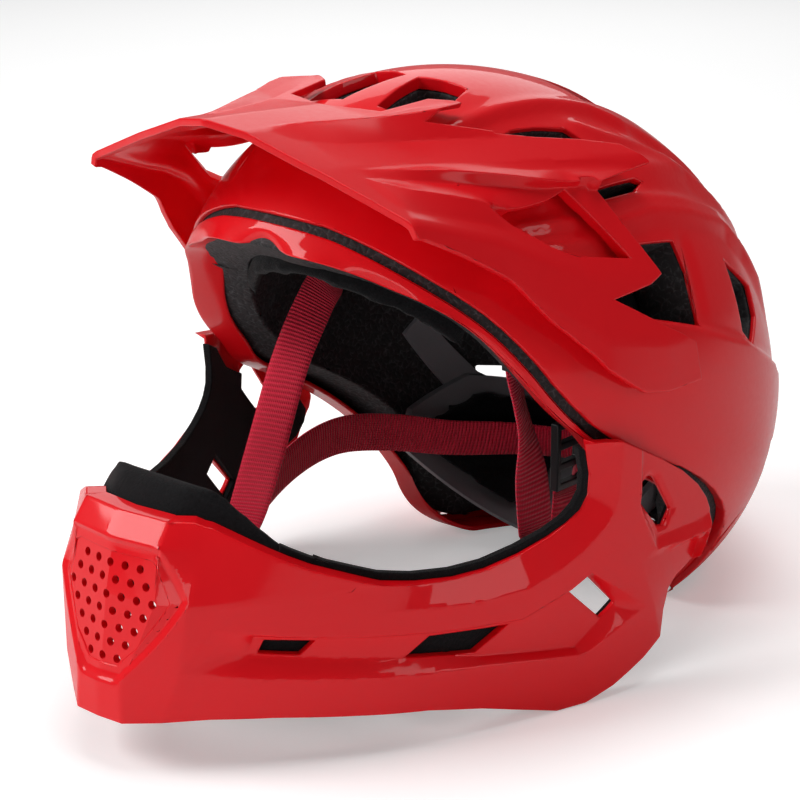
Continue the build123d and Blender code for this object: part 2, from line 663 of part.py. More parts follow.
def fit_dial():
    """Ribbed knob with its spindle and the head that keeps it on the hub."""
    knob = dial_disc(DIAL_R, DIAL_FRONT_Y, DIAL_REAR_Y)
    for index in range(DIAL_GRIPS):
        angle = 2 * math.pi * index / DIAL_GRIPS
        groove = Cylinder(DIAL_GRIP_R, DIAL_T * 3, rotation=(90, 0, 0))
        x = DIAL_R * math.cos(angle)
        z = CRADLE_MID_Z + DIAL_R * math.sin(angle)
        knob = knob - Pos(x, DIAL_REAR_Y, z) * groove
    head_y = CRADLE_REAR_Y - HUB_T / 2 - DIAL_CLEAR
    spindle = dial_disc(DIAL_SPINDLE_R, head_y, DIAL_FRONT_Y)
    head = dial_disc(DIAL_SPINDLE_R * 2, head_y - DIAL_SPINDLE_R / 2, head_y)
    return knob + spindle + head


def dial_pocket():
    """Recess in the foam and the rim that the dial and its finger room need."""
    half = DIAL_R + DIAL_CLEAR * 8
    rear = DIAL_REAR_Y + DIAL_CLEAR * 4
    return box_between((-half, NECK_Y, RIM_FLANGE + OVERRUN), (half, rear, CRADLE_MID_Z + half))


def cradle_pads():
    """Two soft pads on the inside of the cradle, one each side of the hub."""
    depth = 3 * PAD_GAP + BAND_T + CRADLE_T
    middle_y = sum(y for y, z in CRADLE_SHARES) / len(CRADLE_SHARES)
    middle_z = sum(z for y, z in CRADLE_SHARES) / len(CRADLE_SHARES)
    inner = []
    for y, z in CRADLE_SHARES:
        pad_y = middle_y + (y - middle_y) * CRADLE_PAD_SHARE
        pad_z = middle_z + (z - middle_z) * CRADLE_PAD_SHARE
        inner.append((pad_y, pad_z))
    layer = lining_layer(depth, PAD_T) & side_prism(side_outline(inner))
    gap = DIAL_R + PAD_T
    return layer - box_between((-gap, 0, 0), (gap, FAR, FAR))


def strap_anchor(shares):
    """Moulded block on the foam with a flat inner face that a strap is sewn to."""
    x, y, z = skull_point(shares)
    half = WEB_W / 2 + BUCKLE_WALL
    outer_x = math.copysign(SHELL_HALF_W, x)
    low_x, high_x = sorted((x, outer_x))
    block = box_between((low_x, y - half, z - half), (high_x, y + half, z + half))
    return skull(-FOAM_DEPTH - PAD_GAP) & block


def divider(shares, size):
    return Pos(*skull_point(shares)) * Box(*size)


DIVIDER_RIGHT_SHARES = (-0.273, -0.793, -0.538)
DIVIDER_LEFT_SHARES = (0.596, -0.293, -0.577)
ADJUSTER_SHARES = (0.606, -0.171, -0.173)
BUCKLE_SHARES = (0.101, -0.85, -0.577)
ANCHOR_RIGHT_SHARES = (-0.58, -0.15, 0.40)
ANCHOR_LEFT_SHARES = (0.58, -0.35, 0.30)

# Middle stations of each strap: a point as shares of the skull, then the direction of the width
FRONT_STRAP_RIGHT_SHARES = [
    ((-0.569, -0.15, 0.44), (0, 1, 0)),
    ((-0.569, -0.16, 0.29), (0, 1, 0)),
    ((-0.545, -0.25, 0.20), (0.4, 0.9, 0)),
    ((-0.495, -0.393, 0.019), (0.8, 0.6, 0)),
    ((-0.374, -0.579, -0.212), (0.85, 0.5, -0.1)),
    ((-0.253, -0.750, -0.385), (0.95, 0.3, 0)),
]
FRONT_STRAP_LEFT_SHARES = [
    ((0.569, -0.35, 0.34), (0, 1, 0)),
    ((0.569, -0.36, 0.19), (0, 1, 0)),
    ((0.580, -0.375, 0.08), (0.6, 0.8, 0)),
    ((0.596, -0.329, -0.029), (0.75, 0.66, 0)),
    ((0.600, -0.300, -0.221), (0.6, 0.8, 0)),
    ((0.597, -0.293, -0.40), (0.1, 1, 0)),
]
REAR_STRAP_SHARES = [
    ((-0.384, -0.629, -0.442), (0, 0.2, 1)),
    ((-0.475, -0.414, -0.365), (0, 0.1, 1)),
    ((-0.515, -0.200, -0.346), (0, 0, 1)),
    ((-0.505, 0.014, -0.404), (0, -0.1, 1)),
    ((-0.412, 0.214, -0.471), (0, -0.3, 1)),
    ((-0.250, 0.429, -0.510), (0, -0.4, 1)),
    ((0, 0.514, -0.519), (0, -0.4, 1)),
    ((0.250, 0.429, -0.500), (0, -0.4, 1)),
    ((0.412, 0.214, -0.442), (0, -0.3, 1)),
    ((0.525, 0.021, -0.327), (0, 0.1, 1)),
    ((0.576, -0.093, -0.231), (0, 0.2, 1)),
]
CHIN_STRAP_LEFT_SHARES = [
    ((0.485, -0.800, -0.577), (0, 0, 1)),
    ((0.560, -0.650, -0.577), (0, 0, 1)),
    ((0.594, -0.480, -0.577), (0, 0, 1)),
]
SIDE_STRAP_LEFT_SHARES = [
    ((0.598, -0.205, -0.540), (0, -0.3, 1)),
    ((0.602, -0.178, -0.440), (0, -0.8, 0.5)),
    ((0.606, -0.171, -0.330), (0, -1, 0.1)),
]


def stations(rows):
    return [(skull_point(point), across) for point, across in rows]


def beside(shares, size, direction):
    """A point just off the face of a block on the side that the direction points to."""
    point = skull_point(shares)
    return tuple(p + d * (s / 2 + SEAT_GAP) for p, s, d in zip(point, size, direction))


DIVIDER_RIGHT_SIZE = (DIVIDER_L, DIVIDER_T, DIVIDER_W)
DIVIDER_LEFT_SIZE = (DIVIDER_T, DIVIDER_W, DIVIDER_L)


def straps():
    """All webbing, each strap ending just off the hardware that it is sewn to."""
    up = (0, 0, 1)
    right_top = beside(DIVIDER_RIGHT_SHARES, DIVIDER_RIGHT_SIZE, (0, 0, 1))
    right_rear = beside(DIVIDER_RIGHT_SHARES, DIVIDER_RIGHT_SIZE, (0, 1, 0))
    right_side = beside(DIVIDER_RIGHT_SHARES, DIVIDER_RIGHT_SIZE, (1, 0, 0))
    left_top = beside(DIVIDER_LEFT_SHARES, DIVIDER_LEFT_SIZE, (0, 0, 1))
    left_front = beside(DIVIDER_LEFT_SHARES, DIVIDER_LEFT_SIZE, (0, -1, 0))
    left_rear = beside(DIVIDER_LEFT_SHARES, DIVIDER_LEFT_SIZE, (0, 1, 0))
    adjuster_rear = beside(ADJUSTER_SHARES, DIVIDER_LEFT_SIZE, (0, 1, 0))
    adjuster_low = beside(ADJUSTER_SHARES, DIVIDER_LEFT_SIZE, (0, 0, -1))
    mouth_x, buckle_y, buckle_z = skull_point(BUCKLE_SHARES)
    plug_end = (mouth_x - PLUG_L - SEAT_GAP, buckle_y, buckle_z)
    socket_end = (mouth_x + PLUG_CLEAR + BUCKLE_L + SEAT_GAP, buckle_y, buckle_z)
    front_right = stations(FRONT_STRAP_RIGHT_SHARES) + [(right_top, (1, 0, 0))]
    front_left = stations(FRONT_STRAP_LEFT_SHARES) + [(left_top, (0, 1, 0))]
    rear = [(right_rear, up)] + stations(REAR_STRAP_SHARES) + [(adjuster_rear, up)]
    chin_right = [(right_side, up), (plug_end, up)]
    chin_left = [(socket_end, up)] + stations(CHIN_STRAP_LEFT_SHARES) + [(left_front, up)]
    side_left = [(left_rear, up)] + stations(SIDE_STRAP_LEFT_SHARES) + [(adjuster_low, (0, -1, 0))]
    down = (0, 0, -1)
    left = (1, 0, 0)
    rearward = (0, 1, 0)
    return {
        "front_strap_right": ribbon(front_right, down, down),
        "front_strap_left": ribbon(front_left, down, down),
        "rear_strap": ribbon(rear, rearward, (0, -1, 0)),
        "chin_strap_right": ribbon(chin_right, left, left),
        "chin_strap_left": ribbon(chin_left, left, rearward),
        "side_strap_left": ribbon(side_left, rearward, up),
    }


def buckle_socket():
    """Open box that takes the plug's tongue."""
    x, y, z = skull_point(BUCKLE_SHARES)
    near_x = x + PLUG_CLEAR
    low = (near_x, y - BUCKLE_H / 2, z - BUCKLE_W / 2)
    high = (near_x + BUCKLE_L, y + BUCKLE_H / 2, z + BUCKLE_W / 2)
    body = fillet(box_between(low, high).edges(), BUCKLE_WALL / 2)
    slot_low = (near_x - OVERRUN, low[1] + BUCKLE_WALL, low[2] + BUCKLE_WALL)
    slot_high = (high[0] - BUCKLE_WALL * 2, high[1] - BUCKLE_WALL, high[2] - BUCKLE_WALL)
    return body - box_between(slot_low, slot_high)


def buckle_plug():
    """Block with a tongue between two prongs that slide into the socket."""
    x, y, z = skull_point(BUCKLE_SHARES)
    low = (x - PLUG_L, y - BUCKLE_H / 2, z - BUCKLE_W / 2)
    high = (x, y + BUCKLE_H / 2, z + BUCKLE_W / 2)
    body = fillet(box_between(low, high).edges(), BUCKLE_WALL / 2)
    half_h = BUCKLE_H / 2 - BUCKLE_WALL - PLUG_CLEAR
    half_w = BUCKLE_W / 2 - BUCKLE_WALL - PLUG_CLEAR
    for z_low, z_high in ((-half_w, -half_w / 2), (-half_w / 4, half_w / 4), (half_w / 2, half_w)):
        tongue_low = (x - BUCKLE_WALL, y - half_h, z + z_low)
        tongue_high = (x + PLUG_TONGUE, y + half_h, z + z_high)
        body = body + box_between(tongue_low, tongue_high)
    return body


def write(name, shape):
    shape = Pos(0, -MIDDLE_Y, 0) * shape
    export_step(shape, f"parts/{name}.step")
    print(name, [round(v, 1) for v in tuple(shape.bounding_box().min) + tuple(shape.bounding_box().max)])


TILT = math.radians(SHELL_TILT_DEG)
SHELL_REACH = math.hypot(SHELL_HALF_L * math.cos(TILT), SHELL_HALF_H * math.sin(TILT))
MIDDLE_Y = (CHIN_FRONT_Y + SHELL_BACK_Y + SHELL_REACH) / 2


def build():
    parts = {
        "outer_shell": outer_shell(), "lower_shell": lower_shell(), "eps_liner": eps_liner(),
        "visor": visor(), "visor_studs": visor_studs(),
        "chin_guard": chin_guard(), "mouth_vent": mouth_vent(),
        "chin_lining": chin_lining(), "chin_cushion": chin_cushion(),
        "brow_pad": head_pad(BROW_PAD_SHARES), "crown_pad": head_pad(CROWN_PAD_SHARES),
        "side_pad_left": head_pad(SIDE_PAD_SHARES), "side_pad_right": head_pad(SIDE_PAD_SHARES, -1),
        "band_arm_left": band_arm(1), "band_arm_right": band_arm(-1),
        "cradle": cradle(), "cradle_pads": cradle_pads(), "fit_dial": fit_dial(),
        "strap_anchor_left": strap_anchor(ANCHOR_LEFT_SHARES),
        "strap_anchor_right": strap_anchor(ANCHOR_RIGHT_SHARES),
        "strap_divider_left": divider(DIVIDER_LEFT_SHARES, DIVIDER_LEFT_SIZE),
        "strap_divider_right": divider(DIVIDER_RIGHT_SHARES, DIVIDER_RIGHT_SIZE),
        "strap_adjuster_left": divider(ADJUSTER_SHARES, DIVIDER_LEFT_SIZE),
        "buckle_socket": buckle_socket(), "buckle_plug": buckle_plug(),
    }
    parts.update(straps())
    for name, shape in parts.items():
        write(name, shape)


if __name__ == "__main__":
    build()
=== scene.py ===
import logging
import math
from collections.abc import Callable
from dataclasses import dataclass, field
from enum import Enum

import bmesh
import bpy
from mathutils import Matrix, Vector


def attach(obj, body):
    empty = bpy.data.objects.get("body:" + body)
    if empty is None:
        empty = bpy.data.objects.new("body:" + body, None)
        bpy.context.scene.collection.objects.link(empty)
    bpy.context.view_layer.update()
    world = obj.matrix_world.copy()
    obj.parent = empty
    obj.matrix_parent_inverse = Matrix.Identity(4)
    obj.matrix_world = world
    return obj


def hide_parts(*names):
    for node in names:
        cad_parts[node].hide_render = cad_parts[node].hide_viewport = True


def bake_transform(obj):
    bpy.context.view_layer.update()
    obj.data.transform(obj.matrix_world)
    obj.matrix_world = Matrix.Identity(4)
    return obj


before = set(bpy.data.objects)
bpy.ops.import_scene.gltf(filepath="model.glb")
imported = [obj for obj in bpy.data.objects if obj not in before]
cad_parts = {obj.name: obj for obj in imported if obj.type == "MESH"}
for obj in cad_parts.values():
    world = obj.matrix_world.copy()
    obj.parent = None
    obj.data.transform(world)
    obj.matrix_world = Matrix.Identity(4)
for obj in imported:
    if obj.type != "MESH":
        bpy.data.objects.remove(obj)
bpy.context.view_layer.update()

log = logging.getLogger("helmet")

MM = 0.001
# The part's frame lies this far in front of the frame in which the photograph was measured
MIDDLE_Y = 6.7133
# How near its mirror image a corner is joined to it, in metres
MIRROR_WELD = 0.00003

Colour = tuple[float, float, float]
Point2 = tuple[float, float]
Point3 = tuple[float, float, float]
# A line in the flat of a sheet, each point with its depth below the surface
Rim = list[Point3]


class Slot(Enum):
    """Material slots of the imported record."""

    RED_GLOSS = "red_gloss"
    RED_SATIN = "red_satin"
    FOAM = "foam_black"
    FELT = "felt_black"
    GREY = "grey_plastic"
    BLACK = "black_plastic"
    WEBBING = "webbing_red"


class Body(Enum):
    """Bodies of the frame that the pieces ride on."""

    HELMET = "helmet"
    VISOR = "visor"
    CHIN = "chin"
    CRADLE = "cradle"
    PLUG = "plug"


def place(x: float, y: float, z: float) -> Vector:
    """Turns a measured point in millimetres into the part's frame in metres."""
    return Vector((x * MM, (y - MIDDLE_Y) * MM, z * MM))


def within(value: float, low: float = 0.0, high: float = 1.0) -> float:
    """Keeps a value between two limits."""
    return max(low, min(high, value))


def smooth(share: float) -> float:
    """Eases a share between 0 and 1 in and out."""
    return share * share * (3.0 - 2.0 * share)


def hermite(start: float | Vector, end: float | Vector, leave: float | Vector, arrive: float | Vector,
            share: float) -> float | Vector:
    """Runs a cubic from one value to another.

    Args:
        start: value at share 0.
        end: value at share 1.
        leave: slope at the start.
        arrive: slope at the end.
        share: how far along, 0 to 1.

    Returns:
        The value at the share.
    """
    square, cube = share * share, share ** 3
    return (start * (2 * cube - 3 * square + 1) + leave * (cube - 2 * square + share)
            + end * (3 * square - 2 * cube) + arrive * (cube - square))


def solve(low: float, high: float, short: Callable[[float], bool], rounds: int = 40) -> float:
    """Halves a range until it closes on the place where a condition stops holding.

    Args:
        low: start of the range, where the condition holds.
        high: end of the range.
        short: the condition.
        rounds: how often the range is halved.

    Returns:
        The place.
    """
    for _ in range(rounds):
        middle = (low + high) / 2
        if short(middle):
            low = middle
        else:
            high = middle
    return (low + high) / 2


def find_span(lengths: list[float], target: float) -> tuple[int, float]:
    """Finds where a length falls among rising lengths.

    Args:
        lengths: the rising lengths.
        target: the length that is looked for.

    Returns:
        The number of the length before it, and its share of the way to the next.
    """
    low, high = 0, len(lengths) - 1
    while high - low > 1:
        middle = (low + high) // 2
        if lengths[middle] <= target:
            low = middle
        else:
            high = middle
    step = lengths[high] - lengths[low]
    return low, (target - lengths[low]) / step if step > 0 else 0.0


class Graph:
    """Adds and links the nodes of one node tree."""

    def __init__(self, tree: bpy.types.NodeTree) -> None:
        """Keeps the tree that the nodes go into."""
        self.tree = tree

    def fill(self, node: bpy.types.Node, inputs: dict[str | int, object]) -> None:
        """Sets the inputs of a node.

        Args:
            node: the node.
            inputs: for the name or number of an input, a value, or a socket to link.
        """
        for key, value in inputs.items():
            if isinstance(value, bpy.types.NodeSocket):
                self.tree.links.new(value, node.inputs[key])
            else:
                node.inputs[key].default_value = value

    def add(self, kind: str, inputs: dict[str | int, object] | None = None, **attributes: object) -> bpy.types.Node:
        """Adds a node.

        Args:
            kind: its type.
            inputs: its inputs, as fill takes them.
            attributes: its own settings.

        Returns:
            The new node.
        """
        node = self.tree.nodes.new(kind)
        for key, value in attributes.items():
            setattr(node, key, value)
        self.fill(node, inputs or {})
        return node


class Paint(Graph):
    """The nodes of one material, with the patterns that the finishes share."""

    def __init__(self, name: str) -> None:
        """Starts a material.

        Args:
            name: its name.
        """
        self.material = bpy.data.materials.new(name)
        self.material.use_nodes = True
        super().__init__(self.material.node_tree)
        self.shader = self.tree.nodes["Principled BSDF"]
        coordinates = self.add("ShaderNodeTexCoord")
        self.position = coordinates.outputs["Object"]
        self.uv = coordinates.outputs["UV"]

    def shade(self, inputs: dict[str | int, object]) -> None:
        """Sets the inputs of the surface's own shader, as fill takes them."""
        self.fill(self.shader, inputs)

    def noise(self, scale: float, detail: float = 2.0, rough: float = 0.5) -> bpy.types.NodeSocket:
        """Spreads a noise over the piece.

        Args:
            scale: how many patches lie on a metre.
            detail: how many finer layers there are.
            rough: how strong the finer layers are.

        Returns:
            The level of the noise.
        """
        inputs = {"Scale": scale, "Detail": detail, "Roughness": rough, "Vector": self.position}
        return self.add("ShaderNodeTexNoise", inputs).outputs["Fac"]

    def remap(self, source: bpy.types.NodeSocket, low: float, high: float,
              start: float = 0.0, end: float = 1.0) -> bpy.types.NodeSocket:
        """Stretches a level to another range.

        Args:
            source: the level.
            low: what its start becomes.
            high: what its end becomes.
            start: level at which the range starts.
            end: level at which the range ends.

        Returns:
            The new level.
        """
        inputs = {"From Min": start, "From Max": end, "To Min": low, "To Max": high, "Value": source}
        return self.add("ShaderNodeMapRange", inputs).outputs["Result"]

    def blend(self, factor: bpy.types.NodeSocket, first: Colour, second: Colour) -> bpy.types.NodeSocket:
        """Mixes two colours by a level.

        Args:
            factor: the level.
            first: colour at 0.
            second: colour at 1.

        Returns:
            The mixed colour.
        """
        # A mix node has its inputs once for each kind of data: 0 is the factor, 6 and 7 are the colours
        inputs = {0: factor, 6: (*first, 1.0), 7: (*second, 1.0)}
        return self.add("ShaderNodeMix", inputs, data_type="RGBA").outputs[2]

    def bump(self, height: bpy.types.NodeSocket, strength: float, distance: float) -> None:
        """Roughens the surface by a level.

        Args:
            height: the level.
            strength: share of the effect.
            distance: height of the grain in metres.
        """
        node = self.add("ShaderNodeBump", {"Strength": strength, "Distance": distance, "Height": height})
        self.shade({"Normal": node.outputs["Normal"]})


@dataclass(frozen=True)
class Lacquer:
    """Lacquered plastic: a coloured base under a clear coat with a faint orange peel."""

    name: str
    colour: Colour
    deep: Colour
    roughness: float
    coat: float
    coat_roughness: float
    peel: float
    cloud: float = 9.0
    speckle: float = 420.0
    spread: float = 0.03
    peel_scale: float = 160.0
    peel_height: float = 0.0004

    def build(self) -> bpy.types.Material:
        """Makes the material.

        Returns:
            The material.
        """
        paint = Paint(self.name)
        speckle = paint.noise(self.speckle, 3.0)
        paint.shade({
            "Base Color": paint.blend(paint.noise(self.cloud), self.deep, self.colour),
            "Roughness": paint.remap(speckle, self.roughness - self.spread, self.roughness + self.spread, 0.3, 0.7),
            "Coat Weight": self.coat,
            "Coat Roughness": self.coat_roughness,
            "Specular IOR Level": 0.12,
            "IOR": 1.5,
        })
        paint.bump(paint.noise(self.peel_scale, 1.0), self.peel, self.peel_height)
        return paint.material


@dataclass(frozen=True)
class BeadFoam:
    """Black expanded foam: small pressed beads with paler seams."""

    name: str
    colour: Colour
    seam: Colour
    bead: float
    seam_width: float = 0.16
    depth: float = 0.0008

    def build(self) -> bpy.types.Material:
        """Makes the material.

        Returns:
            The material.
        """
        paint = Paint(self.name)
        cells = paint.add("ShaderNodeTexVoronoi", {"Scale": 1.0 / self.bead, "Vector": paint.position},
                          feature="DISTANCE_TO_EDGE")
        distance = cells.outputs["Distance"]
        edge = paint.remap(distance, 1.0, 0.0, 0.0, self.seam_width)
        mottle = paint.remap(paint.noise(1.2 / self.bead, 3.0, 0.7), 0.0, 1.0, 0.45, 0.65)
        product = paint.add("ShaderNodeMath", {0: edge, 1: mottle}, operation="MULTIPLY")
        paint.shade({"Base Color": paint.blend(product.outputs[0], self.colour, self.seam), "Roughness": 0.72})
        paint.bump(distance, 0.6, self.depth)
        return paint.material


@dataclass(frozen=True)
class Felt:
    """Brushed black fabric with a short nap."""

    name: str
    colour: Colour
    nap: Colour
    grain: float
    depth: float = 0.0006

    def build(self) -> bpy.types.Material:
        """Makes the material.

        Returns:
            The material.
        """
        paint = Paint(self.name)
        fibres = paint.noise(self.grain, 5.0, 0.75)
        paint.shade({
            "Base Color": paint.blend(paint.remap(fibres, 0.0, 1.0, 0.35, 0.75), self.colour, self.nap),
            "Roughness": 0.95,
            "Sheen Weight": 0.1,
            "Sheen Roughness": 0.45,
            "Specular IOR Level": 0.12,
        })
        paint.bump(fibres, 0.7, self.depth)
        return paint.material


@dataclass(frozen=True)
class Moulded:
    """Plain moulded plastic with a fine spark-eroded grain."""

    name: str
    colour: Colour
    roughness: float
    spread: float = 0.08
    shade: float = 0.8
    grain_scale: float = 1500.0
    grain: float = 0.25
    depth: float = 0.0003

    def build(self) -> bpy.types.Material:
        """Makes the material.

        Returns:
            The material.
        """
        paint = Paint(self.name)
        darker = tuple(value * self.shade for value in self.colour)
        fine = paint.noise(self.grain_scale)
        paint.shade({
            "Base Color": paint.blend(paint.noise(60.0, 3.0), darker, self.colour),
            "Roughness": paint.remap(fine, self.roughness - self.spread, self.roughness + self.spread, 0.3, 0.7),
        })
        paint.bump(fine, self.grain, self.depth)
        return paint.material


@dataclass(frozen=True)
class Webbing:
    """Crimson polyester webbing: ribs across the strap, with a finer twill inside them, and painted shade darkening
    the grooves between them.
    """

    name: str
    colour: Colour
    # Darker colour painted into the grooves between the ribs and threads as painted shade
    groove_shade: Colour
    pitch: float
    twill: float = 0.55
    depth: float = 0.0005
    # A wave node of scale 1 repeats every 2 pi / 20 units
    wave: float = 0.314

    def build(self) -> bpy.types.Material:
        """Makes the material.

        Returns:
            The material.
        """
        paint = Paint(self.name)
        bands = {"Scale": self.wave / self.pitch, "Distortion": 0.25, "Detail": 1.0, "Vector": paint.uv}
        ribs = paint.add("ShaderNodeTexWave", bands, wave_type="BANDS", bands_direction="X", wave_profile="SIN")
        bands = {"Scale": self.wave / (self.pitch * self.twill), "Distortion": 0.6, "Vector": paint.uv}
        threads = paint.add("ShaderNodeTexWave", bands, wave_type="BANDS", bands_direction="Y", wave_profile="SIN")
        both = paint.add("ShaderNodeMath", {0: threads.outputs["Fac"], 1: 0.35, 2: ribs.outputs["Fac"]},
                         operation="MULTIPLY_ADD").outputs[0]
        # Painted shade: the base colour darkens from the main colour to the groove shade colour in the grooves of the
        # ribs and twill
        paint.shade({
            "Base Color": paint.blend(paint.remap(both, 0.0, 1.0, 0.1, 1.1), self.groove_shade, self.colour),
            "Roughness": 0.55,
            "Sheen Weight": 0.2,
            "Sheen Roughness": 0.4,
            "Specular IOR Level": 0.35,
        })
        paint.bump(both, 0.9, self.depth)
        return paint.material


FINISHES = {
    Slot.RED_GLOSS: Lacquer("red_gloss_paint", (0.80, 0.0015, 0.008), (0.76, 0.001, 0.006), 0.5, 0.5, 0.05, 0.03),
    Slot.RED_SATIN: Lacquer("red_satin_paint", (0.78, 0.0015, 0.008), (0.74, 0.001, 0.006), 0.48, 0.36, 0.16, 0.05),
    Slot.FOAM: BeadFoam("bead_foam", (0.012, 0.012, 0.013), (0.075, 0.075, 0.08), 0.0026),
    Slot.FELT: Felt("brushed_felt", (0.003, 0.003, 0.0035), (0.013, 0.013, 0.0145), 1100.0),
    Slot.GREY: Moulded("grey_moulding", (0.23, 0.23, 0.245), 0.42),
    Slot.BLACK: Moulded("black_moulding", (0.014, 0.014, 0.016), 0.38),
    # The webbing's second colour is painted shade for the grooves between its ribs
    Slot.WEBBING: Webbing("ribbed_webbing", (0.95, 0.014, 0.065), (0.66, 0.007, 0.032), 0.0013),
}


class Paintbox:
    """Builds each finish once and hands it out by slot."""

    def __init__(self) -> None:
        """Builds every finish."""
        self.materials = {slot: finish.build() for slot, finish in FINISHES.items()}

    def paint(self, obj: bpy.types.Object, slot: Slot) -> None:
        """Gives a piece the one finish of a slot.

        Args:
            obj: the piece.
            slot: the slot.
        """
        obj.data.materials.clear()
        obj.data.materials.append(self.materials[slot])

    def dress(self, obj: bpy.types.Object, slot: Slot, body: Body | None, node: str) -> None:
        """Gives a piece its material, its body and the CAD node that it stands for.

        Args:
            obj: the piece.
            slot: its material slot.
            body: the body that it rides on, or none to leave it unattached.
            node: the CAD node that it replaces.
        """
        self.paint(obj, slot)
        if body is not None:
            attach(obj, body.value)
        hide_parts(node)
        log.info("%s stands for %s", obj.name, node)


def link_mesh(bm: bmesh.types.BMesh, name: str) -> bpy.types.Object:
    """Turns a finished bmesh into an object of the scene.

    Args:
        bm: the bmesh, freed here.
        name: name of the mesh and the object.

    Returns:
        The new object.
    """
    mesh = bpy.data.meshes.new(name)
    bm.to_mesh(mesh)
    bm.free()
    obj = bpy.data.objects.new(name, mesh)
    bpy.context.scene.collection.objects.link(obj)
    return obj


def double_faces(bm: bmesh.types.BMesh) -> set[bmesh.types.BMVert]:
    """Doubles a surface and closes its rim, ready to become a shell.

    Args:
        bm: the bmesh.

    Returns:
        The corners of the new face. Those of the old face stay where they were.
    """
    made = bmesh.ops.extrude_face_region(bm, geom=bm.faces[:], use_keep_orig=True)
    return {item for item in made["geom"] if isinstance(item, bmesh.types.BMVert)}


def faces_along(bm: bmesh.types.BMesh, start: Vector, span: Vector, normal: Vector, gap: float, past: float,
                side_view: bool = False) -> list[bmesh.types.BMFace]:
    """Finds the faces that lie along a segment.

    Args:
        bm: the bmesh.
        start: start of the segment.
        span: the way from its start to its end.
        normal: normal of the plane that the segment is cut with.
        gap: how far from that plane a face may lie.
        past: how far past both ends it may lie.
        side_view: measures as seen from the side.

    Returns:
        The faces.
    """
    length = span.length
    along = span.normalized()
    faces = []
    for face in bm.faces:
        offset = face.calc_center_median() - start
        if side_view:
            offset.x = 0.0
        if abs(offset.dot(normal)) < gap and offset.length < length + 2 * gap:
            if -past < offset.dot(along) < length + past:
                faces.append(face)
    return faces


def split_faces(bm: bmesh.types.BMesh, faces: list[bmesh.types.BMFace], dist: float, start: Vector, normal: Vector,
                snap: bool) -> None:
    """Splits faces with a plane.

    Args:
        bm: the bmesh.
        faces: the faces.
        dist: how near a corner has to lie to count as on the plane.
        start: a place on the plane.
        normal: normal of the plane.
        snap: moves the corners that are that near onto the plane.
    """
    verts = {vert for face in faces for vert in face.verts}
    edges = {edge for face in faces for edge in face.edges}
    bmesh.ops.bisect_plane(bm, geom=list(verts) + list(edges) + faces, dist=dist, plane_co=start, plane_no=normal,
                           use_snap_center=snap)


def join_mirror(bm: bmesh.types.BMesh, flat: float) -> None:
    """Opens the wall in the middle plane, welds a mirrored half on and turns the faces outwards.

    Args:
        bm: the closed left half.
        flat: how near the plane a corner of the wall lies, in metres.
    """
    wall = [face for face in bm.faces if all(abs(vert.co.x) < flat for vert in face.verts)]
    bmesh.ops.delete(bm, geom=wall, context="FACES_ONLY")
    bmesh.ops.mirror(bm, geom=bm.verts[:] + bm.edges[:] + bm.faces[:], merge_dist=MIRROR_WELD, axis="X")
    bmesh.ops.recalc_face_normals(bm, faces=bm.faces)


def rounded(obj: bpy.types.Object, width: float, angle: float = 40.0, segments: int = 2) -> bpy.types.Object:
    """Rounds the sharp edges of a piece and shades it by face area.

    Args:
        obj: the piece.
        width: width of the rounding in mm, or 0 for none.
        angle: edges sharper than this many degrees are rounded.
        segments: faces across the rounding.

    Returns:
        The piece.
    """
    for polygon in obj.data.polygons:
        polygon.use_smooth = True
    if width > 0:
        bevel = obj.modifiers.new("round", "BEVEL")
        bevel.width = width * MM
        bevel.segments = segments
        bevel.limit_method = "ANGLE"
        bevel.angle_limit = math.radians(angle)
        bevel.use_clamp_overlap = False
    normals = obj.modifiers.new("normals", "WEIGHTED_NORMAL")
    normals.mode = "FACE_AREA_WITH_ANGLE"
    normals.weight = 50
    return obj


# Distances in mm: a place this near an outline has its depth, corners this near a cut are left or marked, edges
# shorter than this are dissolved
ON_LINE = 0.02
EXACT = 1e-5
ON_CUT = 1e-4
SLIVER = 0.12


def near_on_line(line: Rim, u: float, v: float) -> tuple[float, float]:
    """Finds the closest place on a polyline.

    Args:
        line: points (u, v, depth) of the polyline.
        u: first coordinate of the tested point.
        v: second coordinate of the tested point.

    Returns:
        The distance and the depth that the line has at that place.
    """
    best = math.inf
    depth = 0.0
    for (au, av, ad), (bu, bv, bd) in zip(line, line[1:]):
        du, dv = bu - au, bv - av
        square = du * du + dv * dv
        share = 0.0 if square == 0 else within(((u - au) * du + (v - av) * dv) / square)
        gap = math.hypot(u - au - share * du, v - av - share * dv)
        if gap < best:
            best = gap
            depth = ad + (bd - ad) * share
    return best, depth


def inside_ring(ring: list[Point2], u: float, v: float) -> bool:
    """Tells whether a point lies inside a closed outline.

    Args:
        ring: corners of the outline.
        u: first coordinate of the point.
        v: second coordinate of the point.

    Returns:
        True inside it.
    """
    hit = False
    for index, (au, av) in enumerate(ring):
        bu, bv = ring[index - 1]
        if (av > v) != (bv > v) and u < (bu - au) * (v - av) / (bv - av) + au:
            hit = not hit
    return hit


def closed(ring: list[Point2]) -> list[Point2]:
    """Repeats the first corner of an outline at its end."""
    return ring + ring[:1]


@dataclass(frozen=True)
class Strip:
    """A slope between two lines, each point of which carries its own depth below the surface."""

    first: Rim
    second: Rim

    def depth(self, u: float, v: float) -> float:
        """Gives the depth at a place.

        Args:
            u: first coordinate.
            v: second coordinate.

        Returns:
            The depth below the surface, 0 outside the strip.
        """
        near, near_depth = near_on_line(self.first, u, v)
        far, far_depth = near_on_line(self.second, u, v)
        first, second = self.lines()
        if not inside_ring(first + second[::-1], u, v) and min(near, far) > ON_LINE:
            return 0.0
        return (near_depth * far + far_depth * near) / max(near + far, 1e-9)

    def lines(self) -> list[list[Point2]]:
        """Lists the lines along which the grid is cut."""
        return [[point[:2] for point in self.first], [point[:2] for point in self.second]]


